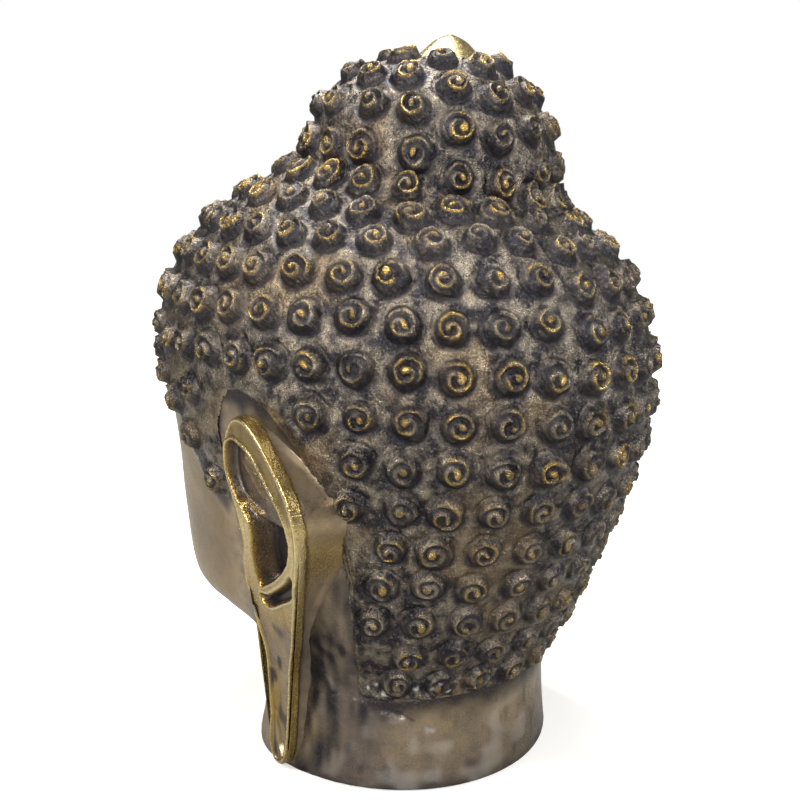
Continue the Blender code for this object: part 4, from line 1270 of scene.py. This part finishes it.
def make_bronze():
    """Patinated cast bronze. The points' own values say where it is rubbed or has a painted highlight, sooty
    or in painted shade, grainy, and chalky or pale with a painted highlight.
    """
    material, tree, shader = new_material(SLOT)
    place = node(tree, "TexCoord", "Object", {})

    def cloud(scale, detail, rough):
        sockets = {"Vector": place, "Scale": scale, "Detail": detail, "Roughness": rough}
        return node(tree, "TexNoise", "Fac", sockets)

    def between(*numbers):
        return spread(tree, *numbers)

    def math_node(operation, a, b, clamp):
        return node(tree, "Math", 0, {0: a, 1: b}, operation=operation, use_clamp=clamp)

    def times(a, b):
        return math_node("MULTIPLY", a, b, True)

    def plus(a, b):
        return math_node("ADD", a, b, True)

    def minus(a, b):
        return math_node("SUBTRACT", a, b, False)

    def mixed(share, a, b):
        return node(tree, "Mix", 2, {0: share, 6: a, 7: b}, data_type="RGBA")

    def laid(colour, *layers):
        for name, low, high, strength, over in layers:
            colour = mixed(times(between(clouds[name], low, high), strength), colour, over)
        return colour

    names = ("rub", "soot", "grain", "chalk")
    rub, soot, grain, chalk = (node(tree, "Attribute", "Fac", {}, attribute_name=name) for name in names)
    clouds = {name: cloud(*numbers) for name, numbers in CLOUDS.items()}
    fine = clouds["fine"]
    colour = mixed(between(grain, 0.1, 0.6), laid(*SATIN), laid(*GROUND))
    bright = between(times(rub, between(fine, 0.25, 0.6, 0.65, 1.0)), 0.08, 0.85)
    colour = mixed(between(bright, 0.0, 0.5), colour, RUBBED)
    colour = mixed(between(bright, 0.45, 0.9), colour, POLISHED_AND_GLINT)
    soot_and_shade_share = times(between(soot, 0.1, 0.82), between(fine, 0.3, 0.7, 1.0, 0.8))
    tree.links.new(mixed(chalk, mixed(soot_and_shade_share, colour, SOOT_AND_SHADE), CHALK_AND_SHEEN), shader.inputs["Base Color"])
    metallic = minus(METALLIC, times(soot_and_shade_share, 0.2))
    tree.links.new(minus(metallic, times(chalk, 0.7)), shader.inputs["Metallic"])
    rough = plus(between(fine, 0.3, 0.7, *ROUGHNESS), between(grain, 0.0, 0.3, 0.10, 0.0))
    rough = plus(minus(rough, times(bright, 0.06)), times(soot_and_shade_share, 0.12))
    tree.links.new(plus(rough, times(chalk, 0.3)), shader.inputs["Roughness"])
    height = math_node("ADD", math_node("ADD", clouds["finest"], clouds["middle"], False), fine, False)
    height = math_node("MULTIPLY", height, between(grain, 0.0, 1.0, 0.10, 1.0), False)
    sockets = {"Strength": RELIEF_STRENGTH, "Distance": RELIEF_DEPTH, "Height": height}
    tree.links.new(node(tree, "Bump", "Normal", sockets), shader.inputs["Normal"])
    return material


def add_stage():
    mesh = bpy.data.meshes.new("floor")
    corners = [(x * FLOOR_HALF, y * FLOOR_HALF, 0) for x, y in ((-1, -1), (1, -1), (1, 1), (-1, 1))]
    mesh.from_pydata(corners, [], [(0, 1, 2, 3)])
    material, tree, shader = new_material("pale_floor")
    for key, value in FLOOR_LOOKS.items():
        shader.inputs[key].default_value = value
    away = node(tree, "VectorMath", "Value", {0: node(tree, "TexCoord", "Object", {})}, operation="LENGTH")
    tree.links.new(spread(tree, away, **FLOOR_GLOW), shader.inputs["Emission Strength"])
    dim = node(tree, "BsdfDiffuse", 0, {"Color": DIM_FLOOR})
    show_to_camera(tree, shader.outputs[0], dim, "Material Output")
    mesh.materials.append(material)
    add_object("floor", mesh)


def add_light(name, place, size, power, colour):
    light = bpy.data.lights.new(name, "AREA")
    light.shape = "DISK"
    light.size = size
    light.energy = power
    light.color = colour
    lamp = add_object(name, light)
    lamp.location = place
    lamp.rotation_euler = (LIGHT_AIM - Vector(place)).to_track_quat("-Z", "Y").to_euler()


def add_world():
    """White where the camera sees it. The bronze mirrors it dim and almost even."""
    world = bpy.data.worlds.new("studio")
    bpy.context.scene.world = world
    world.use_nodes = True
    tree = world.node_tree
    up = node(tree, "SeparateXYZ", "Z", {0: node(tree, "TexCoord", "Generated", {})})
    plain = tree.nodes["Background"]
    plain.inputs["Color"].default_value = DIM_WORLD
    tree.links.new(spread(tree, up, **DIM_WORLD_STRENGTH), plain.inputs["Strength"])
    seen = node(tree, "Background", 0, {"Color": WHITE, "Strength": 1.0})
    show_to_camera(tree, seen, plain.outputs[0], "World Output")


def add_camera():
    ahead = CAMERA_WAY.normalized()
    right = ahead.cross(Vector((0, 0, 1))).normalized()
    up = right.cross(ahead)
    c, s = math.cos(CAMERA_ROLL), math.sin(CAMERA_ROLL)
    data = bpy.data.cameras.new("camera")
    data.lens = CAMERA_LENS
    data.clip_start = 0.01
    camera = add_object("camera", data)
    turned = Matrix((c * right + s * up, c * up - s * right, -ahead)).transposed().to_4x4()
    camera.matrix_world = Matrix.Translation(CAMERA_PLACE) @ turned
    bpy.context.scene.camera = camera


BRONZE = make_bronze()
CURLS = CurlField(make_curls())
head_pieces()
ear_pieces()
add_stage()
add_world()
for lamp in LAMPS:
    add_light(*lamp)
add_camera()
bpy.context.scene.view_settings.view_transform = "Standard"
